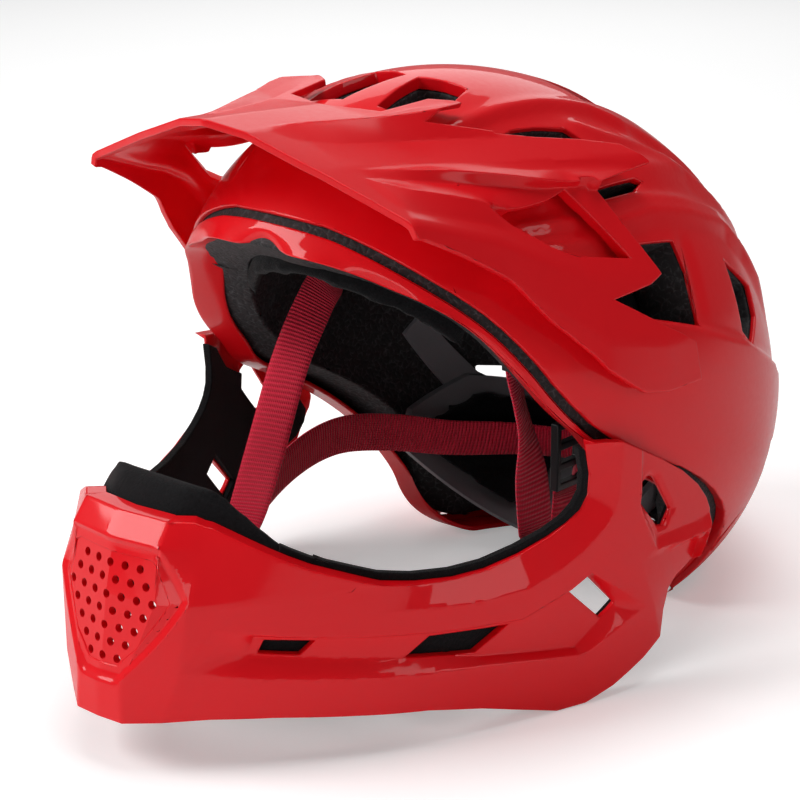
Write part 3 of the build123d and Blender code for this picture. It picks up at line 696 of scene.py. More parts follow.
@dataclass(frozen=True)
class Dish:
    """A floor inside one outline, with a sloping wall out to another outline."""

    outer: list[Point2]
    inner: list[Point2]
    floor: float

    def depth(self, u: float, v: float) -> float:
        """Gives the depth at a place.

        Args:
            u: first coordinate.
            v: second coordinate.

        Returns:
            The depth below the surface, 0 outside the dish.
        """
        near, _ = near_on_line([(a, b, self.floor) for a, b in closed(self.inner)], u, v)
        if inside_ring(self.inner, u, v) or near < ON_LINE:
            return self.floor
        if not inside_ring(self.outer, u, v):
            return 0.0
        far, _ = near_on_line([(a, b, 0.0) for a, b in closed(self.outer)], u, v)
        return self.floor * far / max(near + far, 1e-9)

    def lines(self) -> list[list[Point2]]:
        """Lists the lines along which the grid is cut."""
        return [closed(self.outer), closed(self.inner)]


@dataclass(frozen=True)
class Crease:
    """A soft ridge or groove along a line: the depth fades out with the distance from it."""

    line: Rim
    width: float

    def depth(self, u: float, v: float) -> float:
        """Gives the depth at a place.

        Args:
            u: first coordinate.
            v: second coordinate.

        Returns:
            The depth below the surface, less than 0 for a ridge.
        """
        near, depth = near_on_line(self.line, u, v)
        return depth * (1.0 - smooth(min(1.0, near / self.width)))

    def lines(self) -> list[list[Point2]]:
        """A crease is soft, so the grid isn't cut."""
        return []


@dataclass(frozen=True)
class Fold:
    """A corner line of the form itself: it adds no depth, but the grid is cut along it."""

    line: list[Point2]

    def depth(self, u: float, v: float) -> float:
        """A fold has no depth of its own."""
        return 0.0

    def lines(self) -> list[list[Point2]]:
        """Lists the line along which the grid is cut."""
        return [self.line]


Relief = Strip | Dish | Crease | Fold


@dataclass
class Sheet:
    """A moulded sheet: a fine grid trimmed to an outline, pressed by reliefs and laid on a form."""

    name: str
    node: str
    body: Body
    slot: Slot
    cell: float
    low: Point2
    high: Point2
    outline: list[Point2] = field(default_factory=list)
    holes: list[list[Point2]] = field(default_factory=list)
    reliefs: list[Relief] = field(default_factory=list)
    edge: float = 0.5
    edge_angle: float = 40.0
    # Shares of a cell: half width of a cut, its reach past the ends, and how near a corner is moved onto it
    cut_gap: float = 1.2
    cut_past: float = 0.36
    cut_snap: float = 0.18
    # In metres: corners this near each other are merged, and corners this near the middle plane lie on it
    weld: float = 0.00002
    flat: float = 0.00003

    def form(self, u: float, v: float, depth: float) -> Vector:
        """Lays a grid place on the form, this deep under its surface. Subclasses do it."""
        raise NotImplementedError

    def wall(self, u: float, v: float) -> float:
        """Gives the depth of the inner face at a grid place. Subclasses do it."""
        raise NotImplementedError

    def relief(self, u: float, v: float) -> float:
        """Adds the deepest and the highest relief at a grid place."""
        depths = [relief.depth(u, v) for relief in self.reliefs]
        return max([0.0] + depths) + min([0.0] + depths)

    def grid(self) -> bmesh.types.BMesh:
        """Makes the flat grid and trims it.

        Returns:
            The grid, cut along every outline and relief line.
        """
        bm = bmesh.new()
        wide, tall = self.high[0] - self.low[0], self.high[1] - self.low[1]
        bmesh.ops.create_grid(bm, x_segments=round(wide / self.cell), y_segments=round(tall / self.cell), size=0.5)
        bmesh.ops.scale(bm, vec=(wide, tall, 1.0), verts=bm.verts)
        middle = ((self.low[0] + self.high[0]) / 2, (self.low[1] + self.high[1]) / 2, 0.0)
        bmesh.ops.translate(bm, vec=middle, verts=bm.verts)
        lines = [closed(ring) for ring in [self.outline] + self.holes if ring]
        lines += [line for relief in self.reliefs for line in relief.lines()]
        held: set[int] = set()
        for line in lines:
            for corner in line:
                self.pin_corner(bm, corner, held)
        for line in lines:
            for start, end in zip(line, line[1:]):
                self.cut(bm, start, end)
        spare = [face for face in bm.faces if not self.kept(face.calc_center_median())]
        bmesh.ops.delete(bm, geom=spare, context="FACES")
        bmesh.ops.dissolve_degenerate(bm, dist=SLIVER, edges=bm.edges)
        return bm

    def kept(self, centre: Vector) -> bool:
        """Tells whether a face belongs to the sheet.

        Args:
            centre: middle of the face.

        Returns:
            True inside the outline and outside every hole.
        """
        if self.outline and not inside_ring(self.outline, centre.x, centre.y):
            return False
        return not any(inside_ring(hole, centre.x, centre.y) for hole in self.holes)

    def pin_corner(self, bm: bmesh.types.BMesh, corner: Point2, held: set[int]) -> None:
        """Moves the nearest free grid point onto a corner, so that cuts meet there.

        Args:
            bm: the uncut grid.
            corner: the corner.
            held: numbers of the grid points that are taken, added to here.
        """
        bm.verts.ensure_lookup_table()
        wide, tall = self.high[0] - self.low[0], self.high[1] - self.low[1]
        columns, rows = round(wide / self.cell), round(tall / self.cell)
        column = round((corner[0] - self.low[0]) / wide * columns)
        row = round((corner[1] - self.low[1]) / tall * rows)
        index = row * (columns + 1) + column
        if not (0 <= column <= columns and 0 <= row <= rows) or index in held:
            return
        target = Vector((*corner, 0.0))
        if (bm.verts[index].co - target).length < self.cell:
            bm.verts[index].co = target
            held.add(index)

    def cut(self, bm: bmesh.types.BMesh, start: Point2, end: Point2) -> None:
        """Splits the faces near a segment along its line.

        Args:
            bm: the grid.
            start: start of the segment.
            end: end of the segment.
        """
        origin = Vector((*start, 0.0))
        span = Vector((end[0] - start[0], end[1] - start[1], 0.0))
        length = span.length
        if length < 1e-6:
            return
        along = span.normalized()
        side = Vector((-along.y, along.x, 0.0))
        faces = faces_along(bm, origin, span, side, self.cell * self.cut_gap, self.cell * self.cut_past)
        if not faces:
            return
        verts = {vert for face in faces for vert in face.verts}
        for vert in verts:
            offset = vert.co - origin
            gap = offset.dot(side)
            if EXACT < abs(gap) < self.cell * self.cut_snap and 0.0 < offset.dot(along) < length and not vert.tag:
                vert.co = vert.co - side * gap
        split_faces(bm, faces, ON_CUT, origin, side, False)
        for vert in verts:
            if vert.is_valid and abs((vert.co - origin).dot(side)) < ON_CUT:
                vert.tag = True

    def build(self) -> bpy.types.Object:
        """Lays the grid on the form as a closed shell and mirrors it.

        Returns:
            The new object.
        """
        bm = self.grid()
        outer = double_faces(bm)
        for vert in bm.verts:
            u, v = vert.co.x, vert.co.y
            vert.co = self.form(u, v, self.relief(u, v) if vert in outer else self.wall(u, v))
        bmesh.ops.remove_doubles(bm, verts=bm.verts, dist=self.weld)
        join_mirror(bm, self.flat)
        return link_mesh(bm, self.name)

    def dress(self, paints: Paintbox) -> None:
        """Builds the sheet, rounds its edges and gives it its finish."""
        paints.dress(rounded(self.build(), self.edge, self.edge_angle), self.slot, self.body, self.node)


@dataclass(frozen=True)
class Level:
    """One level line of the chin guard: straight at the nose, then a smooth curve round to the ear."""

    points: list[Point2]
    straight: int = 2

    def at(self, index: float) -> Point2:
        """Finds a place on the line.

        Args:
            index: number of the place, with fractions between the points.

        Returns:
            The place in plan.
        """
        last = len(self.points) - 1
        index = within(index, 0.0, float(last))
        base = min(int(index), last - 1)
        share = index - base
        first, second = self.points[base], self.points[base + 1]
        if base < self.straight:
            return (first[0] + (second[0] - first[0]) * share, first[1] + (second[1] - first[1]) * share)
        before = self.points[base - 1]
        after = self.points[min(base + 2, last)]
        out = []
        for axis in (0, 1):
            leave = (second[axis] - before[axis]) / 2 if base > self.straight else second[axis] - first[axis]
            out.append(hermite(first[axis], second[axis], leave, (after[axis] - first[axis]) / 2, share))
        return (out[0], out[1])


CHIN_LEVELS = [
    (-2.0, [(0, -155.0), (9.8, -155.0), (20.6, -148.5), (45.0, -121.5), (68.5, -86.5), (90.6, -31.4), (102.0, 12.5),
            (102.0, 56)]),
    (18.0, [(0, -161.1), (11.0, -160.4), (22.0, -151.9), (47.0, -123.7), (71.1, -88.0), (92.0, -31.9), (102.4, 12.5),
            (102.4, 56)]),
    (31.0, [(0, -161.1), (10.3, -160.0), (27.0, -149.8), (50.0, -123.0), (72.1, -87.6), (92.7, -31.9), (103.0, 12.5),
            (103.0, 56)]),
    (61.0, [(0, -157.2), (21.0, -153.9), (31.0, -146.9), (51.5, -120.6), (73.6, -85.4), (93.2, -32.3), (103.0, 10.3),
            (103.0, 56)]),
    (80.0, [(0, -152.8), (20.6, -150.2), (30.0, -139.1), (52.0, -116.0), (76.0, -81.9), (94.2, -30.3), (103.0, 9.2),
            (103.0, 56)]),
    (106.0, [(0, -132.1), (18.5, -131.1), (27.0, -128.0), (50.0, -108.0), (77.0, -78.0), (94.8, -28.0), (103.0, 8.2),
             (103.0, 56)]),
]


@dataclass
class ChinForm:
    """The smooth outer form of the chin guard, measured by arc length and height."""

    steps: int = 40
    # The level at which arc lengths are measured
    base: int = 2
    # Half the step, in point numbers, over which the face's direction is taken
    nudge: float = 0.03
    levels: list[tuple[float, Level]] = field(default_factory=list)
    lengths: list[float] = field(default_factory=list)

    def __post_init__(self) -> None:
        """Measures the arc lengths along the base level."""
        self.levels = [(height, Level(points)) for height, points in CHIN_LEVELS]
        base = self.levels[self.base][1]
        self.last = float(len(base.points) - 1)
        self.lengths = [0.0]
        previous = base.at(0.0)
        for step in range(1, int(self.last) * self.steps + 1):
            point = base.at(step / self.steps)
            self.lengths.append(self.lengths[-1] + math.dist(previous, point))
            previous = point

    def index(self, s: float) -> float:
        """Gives the point number at an arc length.

        Args:
            s: the arc length.

        Returns:
            The number, with its share of the way to the next point.
        """
        if s <= 0:
            return 0.0
        low, share = find_span(self.lengths, s)
        return (low + min(1.0, share)) / self.steps

    def length(self, index: float) -> float:
        """Gives the arc length at a point number.

        Args:
            index: the number, which may lie between two points.

        Returns:
            The arc length.
        """
        step = index * self.steps
        base = min(int(step), len(self.lengths) - 2)
        return self.lengths[base] + (self.lengths[base + 1] - self.lengths[base]) * (step - base)

    def plan(self, index: float, z: float) -> Point2:
        """Finds a place in plan.

        Args:
            index: its point number.
            z: its height.

        Returns:
            The place (x, y), between the levels under and over it.
        """
        for (low, first), (high, second) in zip(self.levels, self.levels[1:]):
            if z <= high or high == self.levels[-1][0]:
                share = (z - low) / (high - low)
                a, b = first.at(index), second.at(index)
                return (a[0] + (b[0] - a[0]) * share, a[1] + (b[1] - a[1]) * share)
        return self.levels[-1][1].at(index)

    def point(self, s: float, z: float, depth: float) -> Vector:
        """Finds a place in space.

        Args:
            s: its arc length.
            z: its height.
            depth: how deep it lies under the outer face.

        Returns:
            The place in the part's frame.
        """
        index = self.index(s)
        x, y = self.plan(index, z)
        ahead = self.plan(min(self.last, index + self.nudge), z)
        behind = self.plan(max(0.0, index - self.nudge), z)
        dx, dy = ahead[0] - behind[0], ahead[1] - behind[1]
        if index < self.nudge:
            dx, dy = 1.0, 0.0
        run = math.hypot(dx, dy)
        return place(x - dy / run * depth, y + dx / run * depth, z)

    def side(self, *points: Point2) -> list[Point2]:
        """Turns places seen from the side (y, z) into arc lengths and heights."""
        return [(self.length(solve(1.2, self.last, lambda i: self.plan(i, z)[1] < y)), z) for y, z in points]

    def side_rim(self, *points: Point3) -> Rim:
        """Turns places seen from the side, each with its depth, into a rim."""
        return [(*self.side((y, z))[0], depth) for y, z, depth in points]

    def front(self, *points: Point2) -> list[Point2]:
        """Turns places near the nose, seen from the front (x, z), into arc lengths and heights."""
        return [(self.length(solve(0.0, 3.0, lambda i: self.plan(i, z)[0] < x)), z) for x, z in points]

    def wall(self, s: float, ear: float, more: float) -> float:
        """Gives a wall that is thin at the ear plates and thicker in front.

        Args:
            s: arc length.
            ear: thickness at the ear plates.
            more: what the front has more.

        Returns:
            The thickness.
        """
        return ear + more * self.fore(s)

    def fore(self, s: float) -> float:
        """Gives 1 in front of the ear plates and 0 at them, with a slope between."""
        return within((6.0 - self.index(s)) / 1.2)


CHIN = ChinForm()
CHIN_LOW = (0.0, -1.0)
CHIN_HIGH = (CHIN.lengths[-1] + 1.0, 101.0)

CHIN_OUTLINE_TOP = [
    (-138.0, 88.0), (-134.5, 86.0), (-126.0, 79.3), (-112.0, 70.6), (-92.0, 62.4), (-80.0, 60.2), (-66.0, 59.0),
    (-54.0, 59.6), (-41.0, 62.4), (-30.0, 66.2), (-22.0, 70.0), (-16.5, 73.8), (-13.6, 79.0), (-13.2, 87.0),
    (-15.4, 99.8),
]
CHIN_OUTLINE_REAR = [
    (-1.7, 97.5), (9.0, 91.6), (20.0, 85.6), (34.0, 77.0), (44.0, 69.0), (50.0, 62.0), (52.4, 57.0), (52.0, 52.0),
    (47.6, 44.5), (43.0, 39.5), (33.0, 36.6), (27.5, 33.0), (24.5, 26.0), (21.5, 17.0),
]
CHIN_OUTLINE_LOW = [
    (12.0, 11.0), (-2.0, 4.2), (-14.0, 0.4), (-26.0, 0.2), (-36.0, 3.0), (-56.0, 8.6), (-76.0, 12.6), (-100.0, 15.4),
    (-124.0, 17.8), (-140.0, 18.6), (-150.0, 18.2),
]
SIDE_HOLE = [(-21.9, 45.2), (-14.3, 49.7), (-0.9, 35.4), (-7.2, 31.0)]
SLOT_HOLE = [(14.0, 80.4), (10.4, 78.0), (9.6, 71.7), (19.8, 59.6), (23.6, 58.8), (27.6, 64.0), (17.6, 78.6)]
MOUTH_RING = [(20.8, 80.6), (30.8, 63.0), (8.0, 31.0)]
MOUTH_HOLE = [(17.6, 75.2), (25.4, 61.6), (6.9, 37.0)]


def chin_outline() -> list[Point2]:
    """Draws the edge of the chin guard's left half.

    Returns:
        The corners of the edge.
    """
    ring = [(0.0, 88.4)] + CHIN.front((14.0, 88.4))
    ring += CHIN.side(*CHIN_OUTLINE_TOP, *CHIN_OUTLINE_REAR, *CHIN_OUTLINE_LOW)
    return ring + CHIN.front((11.0, 17.5)) + [(0.0, 17.5)]


def chin_holes() -> list[list[Point2]]:
    """Draws the openings of the chin guard's left half.

    Returns:
        The corners of each opening.
    """
    return [
        CHIN.side((-126.8, 46.2), (-112.4, 44.2), (-116.8, 39.6), (-128.6, 41.6)),
        CHIN.side((-75.4, 39.6), (-46.0, 37.4), (-58.4, 29.8), (-84.0, 33.4)),
        CHIN.side(*SIDE_HOLE),
        CHIN.side(*SLOT_HOLE),
        [(0.0, 37.0)] + CHIN.front(*reversed(MOUTH_HOLE)) + [(0.0, 75.2)],
    ]


def chin_reliefs() -> list[Relief]:
    """Draws what is pressed into the chin guard's left half.

    Returns:
        The brow's fall towards the opening, the long recess, the ear plate, the rear edge, the frames of the slot and
        the mouth, and the corner lines of the nose.
    """
    side_rim, side, front = CHIN.side_rim, CHIN.side, CHIN.front
    brow = Strip(
        side_rim((-140.0, 60.4, 0), (-127.0, 60.0, 0), (-92.0, 62.4, 0.4), (-80.0, 60.2, 2.6), (-66.0, 59.0, 4.2),
                 (-54.0, 59.6, 4.8), (-41.0, 62.4, 5.0), (-30.0, 66.2, 5.0), (-22.0, 70.0, 5.0), (-16.5, 73.8, 5.0),
                 (-13.6, 79.0, 5.0), (-13.2, 87.0, 5.0), (-15.4, 99.8, 5.0)),
        side_rim((-140.0, 60.4, 0), (-129.4, 56.3, 0), (-108.0, 53.6, 0), (-80.2, 52.0, 0), (-59.9, 50.2, 0),
                 (-40.0, 51.0, 0), (-28.0, 55.0, 0), (-18.5, 60.0, 0), (-9.0, 67.0, 0), (-5.0, 72.0, 0),
                 (-3.2, 78.0, 0), (-1.7, 97.5, 0)),
    )
    recess = Dish(
        side((-149.0, 37.2), (-140.5, 52.6), (-132.9, 50.4), (-115.5, 47.0), (-69.0, 41.6), (-41.6, 39.8),
             (-22.3, 46.6), (-14.1, 51.0), (12.0, 32.0), (-16.0, 20.2), (-56.6, 25.6), (-80.0, 27.6), (-108.2, 31.2),
             (-129.7, 34.0)),
        side((-131.5, 41.2), (-129.5, 48.0), (-128.0, 47.8), (-115.5, 45.8), (-69.0, 40.4), (-41.8, 38.6),
             *SIDE_HOLE[:3],
             (-18.4, 22.2), (-57.2, 28.3), (-69.0, 31.2), (-108.2, 37.2), (-122.0, 39.4)),
        3.6,
    )
    ear = Dish(
        side((7.2, 96.0), (8.2, 69.2), (16.6, 52.0), (47.4, 49.6), (70.0, 52.0), (70.0, 110.0), (8.0, 110.0)),
        side((9.6, 96.0), (10.2, 69.8), (18.2, 55.8), (46.8, 55.2), (70.0, 56.0), (70.0, 109.0), (10.0, 109.0)),
        1.9,
    )
    rear = Strip(
        side_rim((7.6, 51.8, 0), (20.6, 17.0, 0)),
        side_rim((47.6, 48.0, 3.0), (43.0, 39.5, 3.4), (33.0, 36.6, 3.0), (27.5, 33.0, 2.6), (24.5, 26.0, 2.0),
                 (21.5, 17.0, 0.4)),
    )
    slot = Dish(
        side((14.2, 83.2), (8.4, 79.8), (7.4, 70.9), (18.9, 57.2), (24.8, 56.2), (30.4, 63.8), (19.6, 81.0)),
        side(*SLOT_HOLE),
        3.0,
    )
    # The mouth's frame reaches over the middle plane, so that it has no wall there
    outer = [(-5.0, 31.0)] + front(*reversed(MOUTH_RING)) + [(-5.0, 80.6)]
    inner = [(-4.0, 33.6)] + front((7.5, 33.6), (28.8, 62.6), (19.6, 78.4)) + [(-4.0, 78.4)]
    corners = [Fold([(CHIN.length(index), -1.0), (CHIN.length(index), 100.0)]) for index in (1.0, 2.0)]
    return [brow, recess, ear, rear, slot, Dish(outer, inner, 1.7)] + corners


@dataclass
class ChinShell(Sheet):
    """Red outer part of the chin guard."""

    name: str = "chin_shell"
    node: str = "chin_guard"
    body: Body = Body.CHIN
    slot: Slot = Slot.RED_GLOSS
    cell: float = 1.5
    low: Point2 = CHIN_LOW
    high: Point2 = CHIN_HIGH
    outline: list[Point2] = field(default_factory=chin_outline)
    holes: list[list[Point2]] = field(default_factory=chin_holes)
    reliefs: list[Relief] = field(default_factory=chin_reliefs)
    edge: float = 0.45
    ear_wall: float = 3.2
    front_wall: float = 3.8
    # Share of the outer relief that the ear plate's inner face follows
    follow: float = 0.45

    def form(self, u: float, v: float, depth: float) -> Vector:
        """Lays a grid place on the chin form."""
        return CHIN.point(u, v, depth)

    def wall(self, u: float, v: float) -> float:
        """Gives the depth of the inner face, which follows the relief at the ear plates."""
        return CHIN.wall(u, self.ear_wall, self.front_wall) + self.relief(u, v) * self.follow * (1.0 - CHIN.fore(u))


def felt_outline() -> list[Point2]:
    """Draws the edge of the felt's left half.

    Returns:
        The corners of the edge.
    """
    return CHIN.side(
        (-133.0, 56.0), (-123.0, 62.0), (-120.0, 77.6), (-112.0, 72.6), (-92.0, 65.0), (-80.0, 62.6), (-66.0, 61.4),
        (-54.0, 62.0), (-41.0, 64.8), (-30.0, 68.6), (-23.0, 72.2), (-18.6, 76.0), (-16.0, 80.4), (-15.6, 87.0),
        (-17.4, 97.0), (-10.5, 93.5), (-2.5, 83.5), (17.5, 73.5), (42.5, 59.5), (47.0, 53.0), (46.0, 48.0),
        (41.0, 42.5), (30.0, 38.0), (24.0, 30.0), (19.5, 18.0), (10.0, 11.5), (-2.0, 5.6), (-14.0, 2.0), (-26.0, 2.0),
        (-36.0, 4.6), (-56.0, 10.2), (-76.0, 14.2), (-100.0, 17.0), (-124.0, 19.4), (-133.0, 20.0),
    )


def felt_holes() -> list[list[Point2]]:
    """Draws the openings of the felt's left half.

    Returns:
        The corners of each opening.
    """
    return [
        CHIN.side((-22.9, 45.6), (-14.3, 51.0), (0.4, 35.4), (-7.2, 29.8)),
        CHIN.side((16.0, 81.4), (9.2, 79.4), (8.4, 71.4), (19.8, 57.8), (24.8, 57.6), (29.2, 64.4), (19.2, 79.6)),
    ]


@dataclass
class FeltSheet(Sheet):
    """Black felt along the inside of the chin guard and ear plates."""

    name: str = "chin_felt"
    node: str = "chin_lining"
    body: Body = Body.CHIN
    slot: Slot = Slot.FELT
    cell: float = 2.4
    low: Point2 = CHIN_LOW
    high: Point2 = CHIN_HIGH
    outline: list[Point2] = field(default_factory=felt_outline)
    holes: list[list[Point2]] = field(default_factory=felt_holes)
    # How deep under the guard's outside the felt starts, at the ear plates and at the front
    ear_depth: float = 3.4
    front_depth: float = 3.8
    thickness: float = 3.2
    fill: float = 0.3

    def form(self, u: float, v: float, depth: float) -> Vector:
        """Lays a grid place on the inside of the guard."""
        return CHIN.point(u, v, CHIN.wall(u, self.ear_depth, self.front_depth) + depth)

    def wall(self, u: float, v: float) -> float:
        """Gives the thickness of the felt."""
        return self.thickness

    def dress(self, paints: Paintbox) -> None:
        """Builds the felt, rounds its edges and gives it its finish."""
        super().dress(paints)


class Skull:
    """The tilted ellipsoid that the shells and the foam follow, in measured millimetres."""

    half = Vector((99.0, 140.0, 104.0))
    centre = Vector((0.0, 43.0, 96.0))
    turn = Matrix.Rotation(math.radians(-30.0), 3, "X")

    @classmethod
    def from_top(cls, x: float, y: float) -> Vector:
        """Finds the place that shows at (x, y) from above."""
        return cls.along(Vector((x, y, cls.centre.z)), Vector((0.0, 0.0, 1.0)))

    @classmethod
    def from_rear(cls, x: float, z: float) -> Vector:
        """Finds the place that shows at (x, z) from behind."""
        return cls.along(Vector((x, cls.centre.y, z)), Vector((0.0, 1.0, 0.0)))

    @classmethod
    def along(cls, start: Vector, direction: Vector) -> Vector:
        """Finds where a line from inside leaves the ellipsoid.

        Args:
            start: a place inside.
            direction: direction of the line.

        Returns:
            The place on the ellipsoid.
        """
        near, arrow = cls.unit(start - cls.centre), cls.unit(direction)
        square = arrow.dot(arrow)
        cross = near.dot(arrow)
        rest = near.dot(near) - 1.0
        reach = (-cross + math.sqrt(max(0.0, cross * cross - square * rest))) / square
        return start + direction * reach

    @classmethod
    def unit(cls, arrow: Vector) -> Vector:
        """Turns an arrow from the centre into one whose length is 1 on the ellipsoid."""
        local = cls.turn.transposed() @ arrow
        return Vector((local.x / cls.half.x, local.y / cls.half.y, local.z / cls.half.z))

    @classmethod
    def normal(cls, point: Vector) -> Vector:
        """Gives the outward direction of the ellipsoid.

        Args:
            point: a place on it.

        Returns:
            The direction.
        """
        local = cls.unit(point - cls.centre)
        slope = Vector((local.x / cls.half.x, local.y / cls.half.y, local.z / cls.half.z))
        return (cls.turn @ slope).normalized()

    @classmethod
    def share(cls, shares: Point3) -> Vector:
        """Gives the place at these shares of the half sizes from the centre, along the frame's own axes."""
        x, y, z = shares
        return Vector((x * cls.half.x, cls.centre.y + y * cls.half.y, cls.centre.z + z * cls.half.z))


def gap_to_path(path: list[Vector], point: Vector) -> tuple[float, float]:
    """Measures a point against a path in space.

    Args:
        path: points of the path.
        point: the point.

    Returns:
        Its distance from the path, and how far along the path it lies (0 to 1).
    """
    best = math.inf
    where = 0.0
    for index, (start, end) in enumerate(zip(path, path[1:])):
        span = end - start
        share = within((point - start).dot(span) / span.length_squared)
        gap = (point - start - span * share).length
        if gap < best:
            best = gap
            where = (index + share) / (len(path) - 1)
    return best, where


@dataclass(frozen=True)
class Ridge:
    """A pressed ridge along a path on the dome, fading out at both ends."""

    path: list[Point3]
    height: float
    width: float
    power: float = 1.3
    # Share of the full height that the front and the rear end start with, and how fast both rise
    front: float = 0.25
    rear: float = 0.1
    climb: float = 6.0

    def rise(self, point: Vector) -> float:
        """Gives the height of the ridge at a place.

        Args:
            point: the place.

        Returns:
            The height, less than 0 in a groove.
        """
        gap, where = gap_to_path([Vector(p) for p in self.path], point)
        if gap >= self.width:
            return 0.0
        ends = min(1.0, where * self.climb + self.front, (1.0 - where) * self.climb + self.rear)
        return self.height * (1.0 - gap / self.width) ** self.power * ends


@dataclass(frozen=True)
class Terrace:
    """A raised part of the dome on one side of a line seen along one axis."""

    line: list[Point2]
    axes: tuple[int, int]
    height: float
    ramp: float
    fade: tuple[float, float]

    def rise(self, point: Vector) -> float:
        """Gives the height of the terrace at a place.

        Args:
            point: the place.

        Returns:
            The height, 0 outside the terrace.
        """
        u, v = point[self.axes[0]], point[self.axes[1]]
        level = self.line[-1][1]
        for (au, av), (bu, bv) in zip(self.line, self.line[1:]):
            if u <= bu:
                level = av + (bv - av) * max(0.0, (u - au)) / (bu - au)
                break
        near = within((u - self.fade[0]) / (self.fade[1] - self.fade[0]))
        return self.height * smooth(within((level - v) / self.ramp + 0.5)) * near


def eased(line: list[Point2], rounds: int = 2) -> list[Point2]:
    """Cuts the corners off a line so that it runs smoothly.

    Args:
        line: the line.
        rounds: how often its corners are cut.

    Returns:
        The smoother line, with the same ends.
    """
    for _ in range(rounds):
        out = [line[0]]
        for (ay, az), (by, bz) in zip(line, line[1:]):
            out.append((ay * 0.75 + by * 0.25, az * 0.75 + bz * 0.25))
            out.append((ay * 0.25 + by * 0.75, az * 0.25 + bz * 0.75))
        line = out + [line[-1]]
    return line


# Lower edges of the shell and of the rim, seen from the side (y, z)
SHELL_EDGE = [
    (-99.8, 188.0), (-70.0, 177.0), (-61.0, 167.3), (-54.0, 160.0), (-44.5, 150.6), (-37.0, 142.0), (-28.0, 129.5),
    (-18.5, 115.0), (-4.0, 99.0), (15.0, 88.0), (45.0, 73.0), (68.1, 56.0), (81.4, 42.0), (87.4, 28.0), (86.6, 16.0),
    (85.6, 9.7), (85.2, 6.0),
]
RIM_EDGE = [
    (-110.0, 167.5), (-78.5, 165.0), (-73.9, 163.0), (-68.8, 160.3), (-63.5, 156.2), (-57.0, 151.5), (-48.3, 144.0),
    (-41.0, 135.5), (-29.2, 118.4), (-20.0, 106.5), (-8.0, 96.0), (0.0, 86.0), (20.0, 76.0), (45.0, 62.0),
    (62.0, 48.0), (71.0, 36.0), (76.0, 24.0), (74.0, 15.0), (76.0, 8.0), (84.0, 2.0), (94.0, 0.0),
]

# Openings of the left half: corners on the dome, seen from above (x, y), and seen from behind (x, z)
SHELL_VENTS = {
    "front": [(8.1, -25.0, 205.6), (5.2, -10.4, 208.4), (3.2, 2.6, 209.9), (11.5, 6.1, 209.2), (21.2, 7.2, 207.4),
              (25.5, -6.0, 205.0), (25.0, -24.0, 201.5)],
    "middle": [(45.0, -18.0, 193.0), (43.6, -5.4, 196.8), (43.4, 7.0, 198.1), (45.0, 18.5, 197.2),
               (47.4, 31.5, 195.0), (54.2, 36.2, 189.7), (58.5, 28.0, 187.2), (59.4, -6.0, 187.0),
               (57.0, -18.0, 186.2)],
    "slot": [(69.0, 17.7, 177.8), (67.0, 46.2, 176.5), (67.7, 50.2, 174.7), (70.9, 41.2, 173.4), (71.8, 19.8, 174.5)],
    "side": [(82.4, 25.6, 159.3), (82.1, 51.2, 155.5), (88.5, 52.2, 142.9), (94.7, 50.9, 125.8), (92.9, 23.1, 134.7),
             (88.0, 6.5, 144.2), (85.0, 15.4, 153.7)],
    "rear_side": [(80.3, 85.8, 140.3), (77.6, 106.0, 126.0), (82.9, 103.8, 115.1), (89.3, 93.1, 107.7),
                  (90.4, 84.9, 115.2), (86.0, 85.5, 128.2)],
}
REAR_TOP_VENT = [(9.9, 57.0), (31.7, 59.8), (29.7, 113.0), (9.9, 115.8)]
REAR_VENTS = [[(14.9, 127.2), (44.6, 121.0), (41.6, 96.0), (14.9, 100.2)],
              [(57.4, 58.6), (79.2, 60.6), (75.2, 44.0), (61.4, 39.8)]]

